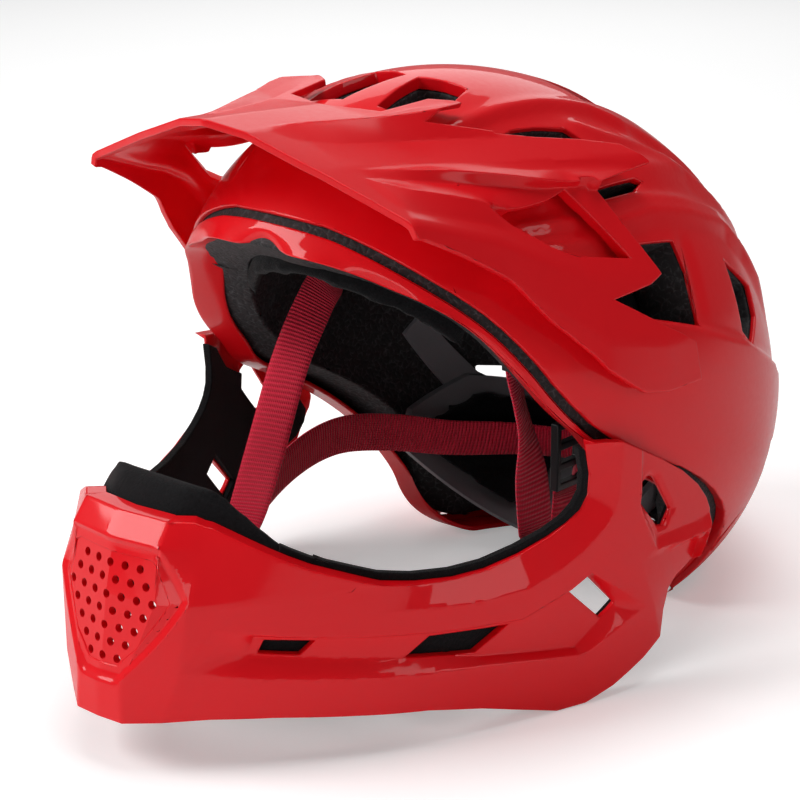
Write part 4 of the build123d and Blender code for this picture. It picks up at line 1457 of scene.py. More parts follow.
SHELL_FORMS = [
    Terrace([(-40.0, 33.0), (-24.5, 34.4), (-5.8, 36.4), (13.5, 37.0), (30.4, 37.2), (55.7, 38.5), (68.0, 42.5),
             (90.0, 46.0), (130.0, 44.0), (170.0, 38.0)], (1, 0), 2.6, 5.0, (-60.0, -35.0)),
    Terrace([(-30.0, 164.0), (-17.6, 158.2), (6.5, 144.2), (23.1, 134.7), (50.9, 125.8), (83.4, 112.2), (118.9, 92.9),
             (150.0, 70.0), (185.0, 50.0)], (1, 2), 2.4, 3.4, (-40.0, 5.0)),
    Ridge([(34.4, -24.5, 197.5), (36.4, -5.8, 200.8), (36.9, 13.5, 201.8), (37.1, 30.4, 200.6), (38.0, 55.7, 194.6),
           (42.5, 68.2, 187.9), (50.4, 74.5, 180.4)], 1.4, 7.0),
    Ridge([(44.1, 33.6, 196.3), (50.1, 49.2, 189.7), (52.2, 72.1, 180.2), (53.0, 90.0, 170.0)], 1.8, 7.0),
    Ridge([(62.5, -12.0, 184.0), (64.0, 14.0, 183.5), (63.0, 40.0, 181.0), (61.0, 62.0, 176.0), (54.2, 90.5, 169.0),
           (54.4, 108.0, 157.8), (52.0, 128.0, 138.0), (48.0, 144.0, 112.0)], 2.8, 10.0),
    Ridge([(73.0, 12.0, 173.1), (72.1, 38.7, 172.5), (70.3, 68.7, 165.1), (62.5, 104.9, 150.7), (58.0, 126.0, 132.0)],
          1.6, 4.5),
    Ridge([(78.5, 8.0, 166.0), (77.3, 19.8, 167.3), (75.8, 43.0, 167.0), (73.7, 69.8, 160.3), (68.0, 99.1, 148.7),
           (67.0, 112.0, 137.0), (68.0, 122.0, 122.0), (70.0, 126.0, 104.0)], 3.0, 8.0),
    Ridge([(93.0, 54.0, 127.0), (88.0, 56.0, 143.0), (81.0, 58.0, 158.0)], -1.2, 6.0),
    Ridge([(66.0, -22.0, 172.0), (70.0, -8.0, 171.5), (73.0, 8.0, 170.5)], 2.2, 3.4),
    Ridge([(70.0, -20.0, 165.0), (74.0, -6.0, 164.5), (77.0, 8.0, 163.0)], 2.4, 3.4),
]


@dataclass
class Dome:
    """Half a dome between two depths under the skull form, with vents and pressed forms, and its mirror image."""

    name: str
    node: str
    slot: Slot
    edge: list[Point2]
    top: float
    wall: float
    detail: int
    forms: list[Ridge | Terrace] = field(default_factory=list)
    rounding: float = 0.5
    rounding_angle: float = 50.0
    # Distances in mm: half width of a cut, its reach past the ends, and how near a corner is moved onto it
    cut_gap: float = 3.0
    cut_past: float = 2.5
    vent_snap: float = 0.3
    edge_snap: float = 0.25
    middle_snap: float = 0.05
    rear_snap: float = 0.1
    # A face further from a vent's first corner than the others, and this much more, can't lie in it
    vent_room: float = 5.0
    # Corners this near the middle plane, in metres, lie on it
    flat: float = 0.00002

    def build(self) -> bpy.types.Object:
        """Shapes the dome from a sphere.

        Returns:
            The new object.
        """
        bm = bmesh.new()
        bmesh.ops.create_icosphere(bm, subdivisions=self.detail, radius=1.0)
        bmesh.ops.scale(bm, vec=Skull.half, verts=bm.verts)
        bmesh.ops.rotate(bm, cent=Vector(), matrix=Skull.turn, verts=bm.verts)
        bmesh.ops.translate(bm, vec=Skull.centre, verts=bm.verts)
        bmesh.ops.bisect_plane(bm, geom=bm.verts[:] + bm.edges[:] + bm.faces[:], dist=self.middle_snap,
                               plane_co=(0, 0, 0), plane_no=(1, 0, 0), use_snap_center=True, clear_inner=True)
        self.trim_edge(bm)
        for ring in self.rings():
            self.open_vent(bm, ring)
        self.thicken(bm)
        join_mirror(bm, self.flat)
        return link_mesh(bm, self.name)

    def dress(self, paints: Paintbox) -> None:
        """Builds the dome, rounds its edges and gives it its finish."""
        paints.dress(rounded(self.build(), self.rounding, self.rounding_angle), self.slot, Body.HELMET, self.node)

    @staticmethod
    def rings() -> list[list[Vector]]:
        """Lists the vents of the left half.

        Returns:
            The corners of each vent, on the skull form.
        """
        rings = [[Vector(point) for point in ring] for ring in SHELL_VENTS.values()]
        rings.append([Skull.from_top(x, y) for x, y in REAR_TOP_VENT])
        rings += [[Skull.from_rear(x, z) for x, z in ring] for ring in REAR_VENTS]
        return rings

    def trim_edge(self, bm: bmesh.types.BMesh) -> None:
        """Cuts the dome along its lower edge and drops what lies in front of it or below.

        Args:
            bm: the left half of the dome.
        """
        for (ay, az), (by, bz) in zip(self.edge, self.edge[1:]):
            start, end = Vector((0.0, ay, az)), Vector((0.0, by, bz))
            normal = Vector((0.0, -(end.z - start.z), end.y - start.y)).normalized()
            faces = faces_along(bm, start, end - start, normal, self.cut_gap, self.cut_past, side_view=True)
            split_faces(bm, faces, self.edge_snap, start, normal, True)
        (_, front), (_, rear) = self.edge[0], self.edge[-1]
        bmesh.ops.bisect_plane(bm, geom=bm.verts[:] + bm.edges[:] + bm.faces[:], dist=self.rear_snap,
                               plane_co=(0, 0, rear), plane_no=(0, 0, 1), use_snap_center=True)
        far = 400.0
        loop = [(-far, front)] + self.edge + [(far, rear), (far, far), (-far, far)]
        spare = []
        for face in bm.faces:
            middle = face.calc_center_median()
            if not inside_ring(loop, middle.y, middle.z):
                spare.append(face)
        bmesh.ops.delete(bm, geom=spare, context="FACES")

    def open_vent(self, bm: bmesh.types.BMesh, ring: list[Vector]) -> None:
        """Cuts one vent with walls that point at the middle of the skull.

        Args:
            bm: the left half of the dome.
            ring: corners of the vent.
        """
        centre = Skull.centre
        axis = sum((point - centre for point in ring), Vector()).normalized()
        across = axis.orthogonal().normalized()
        other = axis.cross(across)

        def flat(point: Vector) -> Point2:
            """Shows a place as it is seen from the middle of the skull.

            Args:
                point: the place.

            Returns:
                The place across that view.
            """
            arrow = point - centre
            depth = arrow.dot(axis)
            return arrow.dot(across) / depth, arrow.dot(other) / depth

        for index, point in enumerate(ring):
            before = ring[index - 1]
            normal = (before - centre).cross(point - centre).normalized()
            faces = faces_along(bm, before, point - before, normal, self.cut_gap, self.cut_past)
            split_faces(bm, faces, self.vent_snap, before, normal, True)
        outline = [flat(point) for point in ring]
        reach = max((point - ring[0]).length for point in ring) + self.vent_room
        spare = []
        for face in bm.faces:
            middle = face.calc_center_median()
            if (middle - ring[0]).length < reach and inside_ring(outline, *flat(middle)):
                spare.append(face)
        bmesh.ops.delete(bm, geom=spare, context="FACES")

    def thicken(self, bm: bmesh.types.BMesh) -> None:
        """Adds the inner face, presses the ridges into the outer one and goes over to metres.

        Args:
            bm: the trimmed left half.
        """
        outer = double_faces(bm)
        for vert in bm.verts:
            point = vert.co.copy()
            if vert in outer:
                moved = point + Skull.normal(point) * (sum(form.rise(point) for form in self.forms) - self.top)
            else:
                moved = self.inner(point + Skull.normal(point) * -self.wall)
            if abs(point.x) < 0.01:
                moved.x = 0.0
            vert.co = place(*moved)

    def inner(self, point: Vector) -> Vector:
        """Gives a place of the inner face its last shape. Here it stays."""
        return point


@dataclass
class UpperShell(Dome):
    """Glossy red upper shell with its vents, belts and ridges."""

    name: str = "shell_dome"
    node: str = "outer_shell"
    slot: Slot = Slot.RED_GLOSS
    edge: list[Point2] = field(default_factory=lambda: eased(SHELL_EDGE, 1))
    top: float = 0.0
    wall: float = 2.0
    detail: int = 7
    forms: list[Ridge | Terrace] = field(default_factory=lambda: SHELL_FORMS)


def foam_edge() -> list[Point2]:
    """Draws the foam's lower edge, 1.8 mm inside the rim's and flat at the nape."""
    edge = [(y + 1.8, z + 1.8) for y, z in eased(RIM_EDGE, 1)]
    return edge[:-1] + [(edge[-1][0], 2.5)]


@dataclass
class FoamLiner(Dome):
    """Black foam liner, whose edge shows as a strip between the shell and the rim."""

    name: str = "foam_dome"
    node: str = "eps_liner"
    slot: Slot = Slot.FOAM
    edge: list[Point2] = field(default_factory=foam_edge)
    top: float = 2.1
    wall: float = 24.0
    detail: int = 6
    rounding: float = 1.0
    # The upright oval that the head passes through: its middle, half sizes and top
    neck_middle: float = 34.0
    neck_half: Point2 = (68.0, 86.0)
    neck_top: float = 57.0

    def inner(self, point: Vector) -> Vector:
        """Keeps a place of the inner face out of the oval that the head passes through.

        Args:
            point: the place.

        Returns:
            The place, moved out to the oval if it lay inside it.
        """
        ahead = point.y - self.neck_middle
        reach = math.hypot(point.x / self.neck_half[0], ahead / self.neck_half[1])
        if point.z > self.neck_top or not 0.5 <= reach < 1.0:
            return point
        return Vector((point.x / reach, self.neck_middle + ahead / reach, point.z))


class EdgeCurve:
    """The curve in which a line, seen from the side, meets the skull form on its left half."""

    def __init__(self, line: list[Point2]) -> None:
        """Follows the line over the skull form.

        Args:
            line: places seen from the side (y, z).
        """
        self.points: list[Vector] = []
        for (ay, az), (by, bz) in zip(line, line[1:]):
            steps = max(2, round(math.hypot(by - ay, bz - az) * 8))
            for step in range(steps):
                self.add(ay + (by - ay) * step / steps, az + (bz - az) * step / steps)
        self.points[0].x = 0.0
        self.points[-1].x = 0.0
        self.lengths = [0.0]
        for before, after in zip(self.points, self.points[1:]):
            self.lengths.append(self.lengths[-1] + (after - before).length)

    def add(self, y: float, z: float) -> None:
        """Adds the place that shows at (y, z) from the side, if there is one.

        Args:
            y: how far to the rear.
            z: how high.
        """
        room = 1.0 - Skull.unit(Vector((0.0, y, z)) - Skull.centre).length_squared
        if room > 0:
            self.points.append(Vector((math.sqrt(room) * Skull.half.x, y, z)))

    def at(self, share: float) -> Vector:
        """Gives the place at a share of the curve's length."""
        low, part = find_span(self.lengths, share * self.lengths[-1])
        return self.points[low] + (self.points[low + 1] - self.points[low]) * part


RIM_LENGTH = 400.0


@dataclass
class RimShell(Sheet):
    """Red rim under the foam strip, turned in beneath the foam, with a notched and lobed brow."""

    name: str = "rim_sheet"
    node: str = "lower_shell"
    body: Body = Body.HELMET
    slot: Slot = Slot.RED_GLOSS
    cell: float = 2.0
    low: Point2 = (0.0, 0.0)
    high: Point2 = (RIM_LENGTH, 48.0)
    edge: float = 0.6
    edge_angle: float = 35.0
    thickness: float = 2.0
    # Rows of the grid, counted as v: the brow swells from the first, the lip turns in from the second
    swell_from: float = 9.0
    lip_from: float = 24.0
    turn_from: float = 20.0
    turn_over: float = 8.0
    notch_width: float = 9.0
    notch_depth: float = 0.42
    lobes: float = 16.0
    swell_mean: float = 1.2
    swell_wave: float = 2.2
    # How far in the lip runs everywhere, and how much more at the brow, on its lobes and at the nape
    lip: float = 9.0
    lip_brow: float = 6.0
    lip_lobe: float = 4.0
    lip_nape: float = 7.0

    def __post_init__(self) -> None:
        """Lays the rim's upper and lower edge on the skull form."""
        upper = [(y - 2.5, z - 2.5) for y, z in SHELL_EDGE[:12]]
        upper += [(83.4, 26.8), (84.6, 16.0), (83.8, 8.0), (85.0, 2.6), (250.0, 2.4)]
        self.upper = EdgeCurve(eased(upper))
        self.lower = EdgeCurve(eased(RIM_EDGE + [(250.0, 0.0)]))

    def reach(self, share: float) -> float:
        """Gives how far the lip runs inward.

        Args:
            share: how far round from the brow to the nape, 0 to 1.

        Returns:
            The reach in mm, with lobes near the brow.
        """
        brow = max(0.0, 1.0 - share * 2.6)
        lobes = 0.5 - 0.5 * math.cos(share * self.lobes * math.pi)
        nape = max(0.0, share - 0.6) / 0.4
        front = max(0.0, 1.0 - share * 1.5)
        return self.lip + self.lip_brow * front + self.lip_lobe * brow * lobes + self.lip_nape * nape

    def form(self, u: float, v: float, depth: float) -> Vector:
        """Lays a grid place on the rim.

        Args:
            u: how far round it lies.
            v: how far down, and beyond the edge how far in.
            depth: how deep under the outer face.

        Returns:
            The place in the part's frame.
        """
        share = u / RIM_LENGTH
        notch = math.exp(-(u / self.notch_width) ** 2)
        band = min(1.0, v / self.lip_from) * (1.0 - self.notch_depth * notch)
        here = self.upper.at(share).lerp(self.lower.at(share), band)
        arrow = here - Skull.centre
        here = Skull.centre + arrow / Skull.unit(arrow).length
        normal = Skull.normal(here)
        brow = max(0.0, 1.0 - share * 2.2)
        swell = max(0.0, (min(v, self.lip_from) - self.swell_from) / (self.lip_from - self.swell_from)) ** 2
        wave = math.cos(share * self.lobes * math.pi)
        here = here - normal * (self.swell_mean + self.swell_wave * wave) * brow * swell
        if v > self.lip_from:
            inward = Vector((-normal.x, -normal.y, 0.05)).normalized()
            here = here + inward * (v - self.lip_from) / (self.high[1] - self.lip_from) * self.reach(share)
        turn = within((v - self.turn_from) / self.turn_over)
        here = here + (-normal * (1.0 - turn) + Vector((0.0, 0.0, 1.0)) * turn) * depth
        if u < 0.01 or u > RIM_LENGTH - 0.01:
            here.x = 0.0
        return place(*here)

    def wall(self, u: float, v: float) -> float:
        """Gives the thickness of the rim."""
        return self.thickness


# Cross sections of the visor's top face: y, then the places (x, z) from the middle out and down
VISOR_SECTIONS = [
    (-107.0, [(0.0, 213.0), (14.4, 210.5), (42.0, 200.0), (72.8, 187.5), (75.3, 184.0), (76.4, 171.0)]),
    (-80.0, [(0.0, 211.0), (16.4, 208.5), (43.1, 199.0), (74.3, 186.0), (77.4, 178.0), (78.4, 166.8)]),
    (-45.5, [(0.0, 208.0), (24.1, 206.5), (52.3, 195.0), (80.0, 174.0), (84.1, 160.0), (85.6, 147.9)]),
    (-9.5, [(0.0, 212.0), (33.0, 208.0), (63.0, 191.0), (88.7, 156.0), (97.9, 135.0), (101.0, 117.5)]),
    (20.5, [(0.0, 213.0), (35.0, 208.5), (69.0, 188.0), (92.3, 150.0), (101.0, 128.0), (102.5, 110.1)]),
    (49.0, [(0.0, 212.0), (36.0, 207.0), (74.0, 184.0), (91.7, 150.0), (101.0, 126.0), (102.5, 108.0)]),
]
# The sheet's own coordinate v at each of those places
VISOR_MARKS = [0.0, 25.0, 65.0, 105.0, 125.0, 145.0]


class VisorForm:
    """The visor's top face: u runs rearwards, v runs from the middle over the edge and down the side."""

    # Within this distance of the dome, in mm, the visor is kept clear of it by the gap and a share of what rises there
    near_dome = 8.0
    gap = 0.4
    follow = 0.7
    # The inner face stands nearer to the dome than the top face does
    sheet = 2.6
    sheet_share = 0.65
    # Half the steps over which the face's direction is taken
    step_u = 0.6
    step_v = 1.2
    # The furthest v over which it is taken
    last_v = 146.0

    @staticmethod
    def flat(u: float, v: float) -> Vector:
        """Finds a place on the form before it is lifted clear of the shell.

        Args:
            u: how far to the rear.
            v: how far out and down.

        Returns:
            The place in measured millimetres.
        """
        rear = next((i for i in range(1, len(VISOR_SECTIONS)) if u <= VISOR_SECTIONS[i][0]), len(VISOR_SECTIONS) - 1)
        (low, first), (high, second) = VISOR_SECTIONS[rear - 1], VISOR_SECTIONS[rear]
        share = (u - low) / (high - low)
        step = next((i for i in range(1, len(VISOR_MARKS)) if v <= VISOR_MARKS[i]), len(VISOR_MARKS) - 1)
        across = (v - VISOR_MARKS[step - 1]) / (VISOR_MARKS[step] - VISOR_MARKS[step - 1])
        ends = []
        for (ax, az), (bx, bz) in zip(first[step - 1:step + 1], second[step - 1:step + 1]):
            ends.append(Vector((ax + (bx - ax) * share, u, az + (bz - az) * share)))
        return ends[0] + (ends[1] - ends[0]) * across

    @classmethod
    def point(cls, u: float, v: float, depth: float) -> Vector:
        """Finds a place under the top face, kept clear of the shell's dome.

        Args:
            u: how far to the rear.
            v: how far out and down.
            depth: how deep under the top face.

        Returns:
            The place in the part's frame.
        """
        along = cls.flat(u + cls.step_u, v) - cls.flat(u - cls.step_u, v)
        over = cls.flat(u, min(v + cls.step_v, cls.last_v)) - cls.flat(u, max(v - cls.step_v, 0.0))
        normal = along.cross(over).normalized()
        if v < 0.01:
            normal.x = 0.0
            normal.normalize()
        here = cls.flat(u, v) - normal * depth
        arrow = here - Skull.centre
        reach = Skull.unit(arrow).length
        outward = Skull.normal(here)
        gap = (reach - 1.0) / reach * arrow.dot(outward)
        if gap < cls.near_dome:
            rise = sum(form.rise(here - outward * gap) for form in SHELL_FORMS)
            needed = rise * cls.follow + cls.gap + max(0.0, cls.sheet - max(0.0, depth)) * cls.sheet_share
            here = here + outward * max(0.0, needed - gap)
        if v < 0.01:
            here.x = 0.0
        return place(*here)

    @classmethod
    def plan(cls, *points: Point2) -> list[Point2]:
        """Turns places seen from above (x, y) into form places."""
        return [(y, solve(0.0, VISOR_MARKS[-1], lambda v: cls.flat(y, v).x < x, 36)) for x, y in points]

    @classmethod
    def side(cls, *points: Point2) -> list[Point2]:
        """Turns places seen from the side (y, z) into form places."""
        return [(y, solve(0.0, VISOR_MARKS[-1], lambda v: cls.flat(y, v).z > z, 36)) for y, z in points]

    @classmethod
    def plan_rim(cls, *points: Point3) -> Rim:
        """Turns places seen from above, each with its depth, into a rim."""
        return [(*cls.plan((x, y))[0], depth) for x, y, depth in points]

    @classmethod
    def side_rim(cls, *points: Point3) -> Rim:
        """Turns places seen from the side, each with its depth, into a rim."""
        return [(*cls.side((y, z))[0], depth) for y, z, depth in points]


def visor_outline() -> list[Point2]:
    """Draws the edge of the visor's left half.

    Returns:
        The corners of the edge.
    """
    outline = [(-103.6, 0.0)] + VisorForm.plan((36.0, -94.4), (72.0, -84.6))
    outline += VisorForm.side(
        (-83.6, 182.6), (-64.0, 173.5), (-44.0, 161.0), (-31.0, 146.0), (-15.0, 131.0), (2.0, 116.6), (7.0, 113.0),
        (39.6, 110.6), (37.0, 125.4), (17.0, 136.5), (0.0, 146.6), (27.8, 149.6), (13.3, 180.9), (44.6, 183.6),
    )
    outline += VisorForm.plan((66.0, 38.0), (54.5, 4.0), (36.0, -34.0), (33.4, -10.0), (24.0, -17.0), (21.0, -38.0))
    return outline + [(-46.0, 0.0)]


def visor_holes() -> list[list[Point2]]:
    """Draws the kite-shaped hole of the visor's left half."""
    return [VisorForm.side((-42.2, 181.0), (-0.6, 181.6), (15.0, 157.0), (-20.8, 167.1))]


def visor_panels() -> list[Relief]:
    """Draws what is pressed into the visor's left half.

    Returns:
        The raised middle panel, the blade with its valley, the steps over the kite-shaped hole, the crest under it and
        the frame round it.
    """
    form = VisorForm
    crest = form.plan_rim((13.0, -88.0, 0), (22.5, -48.0, 0), (27.0, -30.0, 0), (33.4, -10.0, 0))
    foot = form.plan_rim((14.0, -88.0, 0), (27.5, -49.0, 5.0), (33.0, -33.0, 6.5), (38.0, -12.0, 6.5))
    brink = form.plan_rim((7.0, -98.0, 0), (24.0, -84.0, 0), (31.0, -70.0, 0), (40.3, -39.4, 0), (50.9, -10.1, 0))
    blade = form.plan_rim((44.4, -76.8, 0), (53.0, -38.3, -1.0), (64.0, -3.0, -1.6), (73.8, 44.0, -1.6))
    valley = form.plan_rim((45.6, -77.3, 0), (60.5, -32.0, 4.5), (70.4, 2.0, 6.5), (77.0, 40.0, 6.5))
    kite_top = form.side_rim((-79.4, 196.4, 0), (-45.2, 189.8, 0), (-6.3, 182.8, 0), (13.0, 180.9, 0))
    third = form.side_rim((-79.4, 196.2, 0), (-69.1, 190.7, 2.4), (-42.2, 181.6, 4.6))
    side_up = form.side_rim((-79.1, 187.8, 0), (-57.8, 181.0, -0.6), (-33.7, 172.2, -1.2), (-20.8, 166.0, -1.2))
    crest_line = form.side_rim((-79.5, 187.0, -0.2), (-57.8, 180.0, -1.4), (-33.7, 171.2, -1.8), (-15.5, 157.7, -1.8),
                               (0.0, 147.4, -1.0))
    return [
        Strip(crest, foot), Strip(foot, brink), Strip(blade, valley), Strip(valley, kite_top),
        Strip(kite_top, third), Strip(third, side_up),
        Crease(crest_line, 6.5),
        Crease(form.side_rim((-42.2, 181.0, -0.4), (-0.6, 181.6, -2.0), (15.0, 157.0, -2.0), (-20.8, 167.1, -1.6),
                             (-42.2, 181.0, -0.4)), 7.0),
    ]


@dataclass
class VisorShell(Sheet):
    """Satin red visor with a raised middle panel, two blades and a kite-shaped hole on each side."""

    name: str = "visor_sheet"
    node: str = "visor"
    body: Body = Body.VISOR
    slot: Slot = Slot.RED_SATIN
    cell: float = 1.8
    low: Point2 = (-107.0, 0.0)
    high: Point2 = (49.0, 145.0)
    outline: list[Point2] = field(default_factory=visor_outline)
    holes: list[list[Point2]] = field(default_factory=visor_holes)
    reliefs: list[Relief] = field(default_factory=visor_panels)
    edge_angle: float = 45.0
    thickness: float = 2.6
    # Share of the outer relief that the inner face follows
    follow: float = 0.8

    def form(self, u: float, v: float, depth: float) -> Vector:
        """Lays a grid place on the visor form."""
        return VisorForm.point(u, v, depth)

    def wall(self, u: float, v: float) -> float:
        """Gives the depth of the inner face, which follows the valleys."""
        return self.thickness + max(0.0, self.relief(u, v)) * self.follow


def spline(points: list[Vector], share: float) -> Vector:
    """Runs a smooth curve through points.

    Args:
        points: the points.
        share: how far along the curve, 0 to 1.

    Returns:
        The place.
    """
    last = len(points) - 1
    index = min(int(share * last), last - 1)
    start, end = points[index], points[index + 1]
    before = points[index - 1] if index > 0 else start * 2 - end
    after = points[index + 2] if index + 2 <= last else end * 2 - start
    return hermite(start, end, (end - before) / 2, (after - start) / 2, share * last - index)


# A place of a strap's middle line and the direction of its width there
Station = tuple[Vector, Point3]


@dataclass(frozen=True)
class Ribbon:
    """Flat webbing along a smooth path through its stations."""

    node: str
    stations: list[Station]
    width: float = 15.0
    thickness: float = 1.5
    row: float = 2.0
    columns: int = 8
    # How far the webbing bows out between its edges, and the share of its thickness that its edges lack
    bow: float = 0.5
    thin_edge: float = 0.45
    # Half the step over which the path's direction is taken, as a share of it
    nudge: float = 0.004
    # Steps in which the path is measured
    steps: int = 100

    def frame_at(self, share: float) -> tuple[Vector, Vector, Vector]:
        """Finds how the webbing lies at a share of the path.

        Args:
            share: how far along, 0 to 1.

        Returns:
            The place, the direction of the width and the direction of the face.
        """
        places = [where for where, _ in self.stations]
        across = spline([Vector(direction).normalized() for _, direction in self.stations], share)
        tangent = spline(places, min(1.0, share + self.nudge)) - spline(places, max(0.0, share - self.nudge))
        tangent.normalize()
        across = (across - tangent * across.dot(tangent)).normalized()
        return spline(places, share), across, tangent.cross(across)

    def length(self) -> float:
        """Measures the path.

        Returns:
            Its length.
        """
        path = [where for where, _ in self.stations]
        places = [spline(path, step / self.steps) for step in range(self.steps + 1)]
        return sum((b - a).length for a, b in zip(places, places[1:]))

    def build(self) -> bpy.types.Object:
        """Lays a grid along the path and thickens it.

        Returns:
            The new object, whose map runs in metres along and across the webbing.
        """
        length = self.length()
        bm = bmesh.new()
        bmesh.ops.create_grid(bm, x_segments=max(8, round(length / self.row)), y_segments=self.columns, size=0.5)
        upper = double_faces(bm)
        uv = bm.loops.layers.uv.new("weave")
        for face in bm.faces:
            for loop in face.loops:
                flat = loop.vert.co
                loop[uv].uv = ((flat.x + 0.5) * length * MM, flat.y * self.width * MM)
        for vert in bm.verts:
            share, side = within(vert.co.x + 0.5), vert.co.y
            where, across, normal = self.frame_at(share)
            lift = 0.5 if vert in upper else -0.5
            lift *= 1.0 - self.thin_edge * (abs(side) > 0.49)
            bow = self.bow * (1.0 - 4.0 * side * side) * math.sin(math.pi * share)
            vert.co = place(*(where + across * side * self.width + normal * (lift * self.thickness + bow)))
        bmesh.ops.recalc_face_normals(bm, faces=bm.faces)
        return link_mesh(bm, f"{self.node}_webbing")

    def dress(self, paints: Paintbox) -> None:
        """Builds the strap and gives it its finish and body."""
        paints.dress(rounded(self.build(), 0.0), Slot.WEBBING, Body.HELMET, self.node)


@dataclass(frozen=True)
class PlugRibbon(Ribbon):
    """The short strap at the buckle, whose far end lies at the plug."""

    def dress(self, paints: Paintbox) -> None:
        """Builds the strap, gives it its finish, leaves it on no body and bakes its place into its mesh.

        Args:
            paints: the finishes.
        """
        obj = rounded(self.build(), 0.0)
        paints.dress(obj, Slot.WEBBING, None, self.node)
        fixed, moving = (place(*where) for where in (self.stations[0][0], self.stations[-1][0]))
        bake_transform(obj)


# Middles of the strap fittings, in shares of the skull's half sizes
RIGHT_DIVIDER = (-0.273, -0.793, -0.538)
LEFT_DIVIDER = (0.596, -0.293, -0.577)
LEFT_ADJUSTER = (0.606, -0.171, -0.173)
BUCKLE = (0.101, -0.85, -0.577)


def path_of(stations: list[tuple[Point3, Point3]]) -> list[Station]:
    """Turns stations given in shares of the skull's half sizes into places."""
    return [(Skull.share(where), across) for where, across in stations]


def webbing() -> list[Ribbon]:
    """Lists every strap, each from the edge of one fitting to the edge of the next.

    Returns:
        The straps.
    """
    up, back, over = (0, 0, 1), (0, 1, 0), (1, 0, 0)
    fittings = (RIGHT_DIVIDER, LEFT_DIVIDER, LEFT_ADJUSTER, BUCKLE)
    right, left, adjuster, buckle = (Skull.share(fitting) for fitting in fittings)
    front_right = path_of([
        ((-0.569, -0.15, 0.44), back), ((-0.569, -0.16, 0.29), back), ((-0.545, -0.25, 0.20), (0.4, 0.9, 0)),
        ((-0.495, -0.393, 0.019), (0.8, 0.6, 0)), ((-0.374, -0.579, -0.212), (0.85, 0.5, -0.1)),
        ((-0.253, -0.750, -0.385), (0.95, 0.3, 0)),
    ])
    front_left = path_of([
        ((0.569, -0.35, 0.34), back), ((0.573, -0.355, 0.19), (-0.25, 1, 0)),
        ((0.582, -0.350, 0.08), (-0.45, 0.9, 0)), ((0.592, -0.330, -0.05), (-0.35, 0.94, 0)),
        ((0.598, -0.310, -0.221), (0.15, 1, 0)), ((0.597, -0.293, -0.40), (0.2, 1, 0)),
    ])
    rear = path_of([
        ((-0.384, -0.629, -0.442), (0, 0.2, 1)), ((-0.475, -0.414, -0.365), (0, 0.1, 1)),
        ((-0.515, -0.200, -0.346), up), ((-0.505, 0.014, -0.404), (0, -0.1, 1)),
        ((-0.408, 0.200, -0.471), (0, -0.3, 1)), ((-0.245, 0.392, -0.510), (0, -0.4, 1)),
        ((0, 0.470, -0.519), (0, -0.4, 1)), ((0.245, 0.392, -0.500), (0, -0.4, 1)),
        ((0.408, 0.200, -0.442), (0, -0.3, 1)), ((0.525, 0.021, -0.327), (0, 0.1, 1)),
        ((0.576, -0.093, -0.231), (0, 0.2, 1)),
    ])
    chin_left = path_of([((0.485, -0.800, -0.577), up), ((0.560, -0.650, -0.577), up), ((0.594, -0.480, -0.577), up)])
    side_left = path_of([
        ((0.598, -0.205, -0.540), (0, -0.3, 1)), ((0.602, -0.178, -0.440), (0, -0.8, 0.5)),
        ((0.606, -0.171, -0.330), (0, -1, 0.1)),
    ])
    return [
        Ribbon("front_strap_right", front_right + [(right + Vector((0, 0, 7.6)), over)]),
        Ribbon("front_strap_left", front_left + [(left + Vector((0, 0, 13.2)), back)]),
        Ribbon("rear_strap", [(right + Vector((0, 3.2, 0)), up)] + rear + [(adjuster + Vector((0, 7.7, 0)), up)]),
        PlugRibbon("chin_strap_right", [(right + Vector((13.2, 0, 0)), up), (buckle - Vector((12.2, 0, 0)), up)]),
        Ribbon("chin_strap_left",
               [(buckle + Vector((28.5, 0, 0)), up)] + chin_left + [(left - Vector((0, 7.7, 0)), up)]),
        Ribbon("side_strap_left",
               [(left + Vector((0, 7.7, 0)), up)] + side_left + [(adjuster - Vector((0, 0, 13.2)), (0, -1, 0))]),
    ]


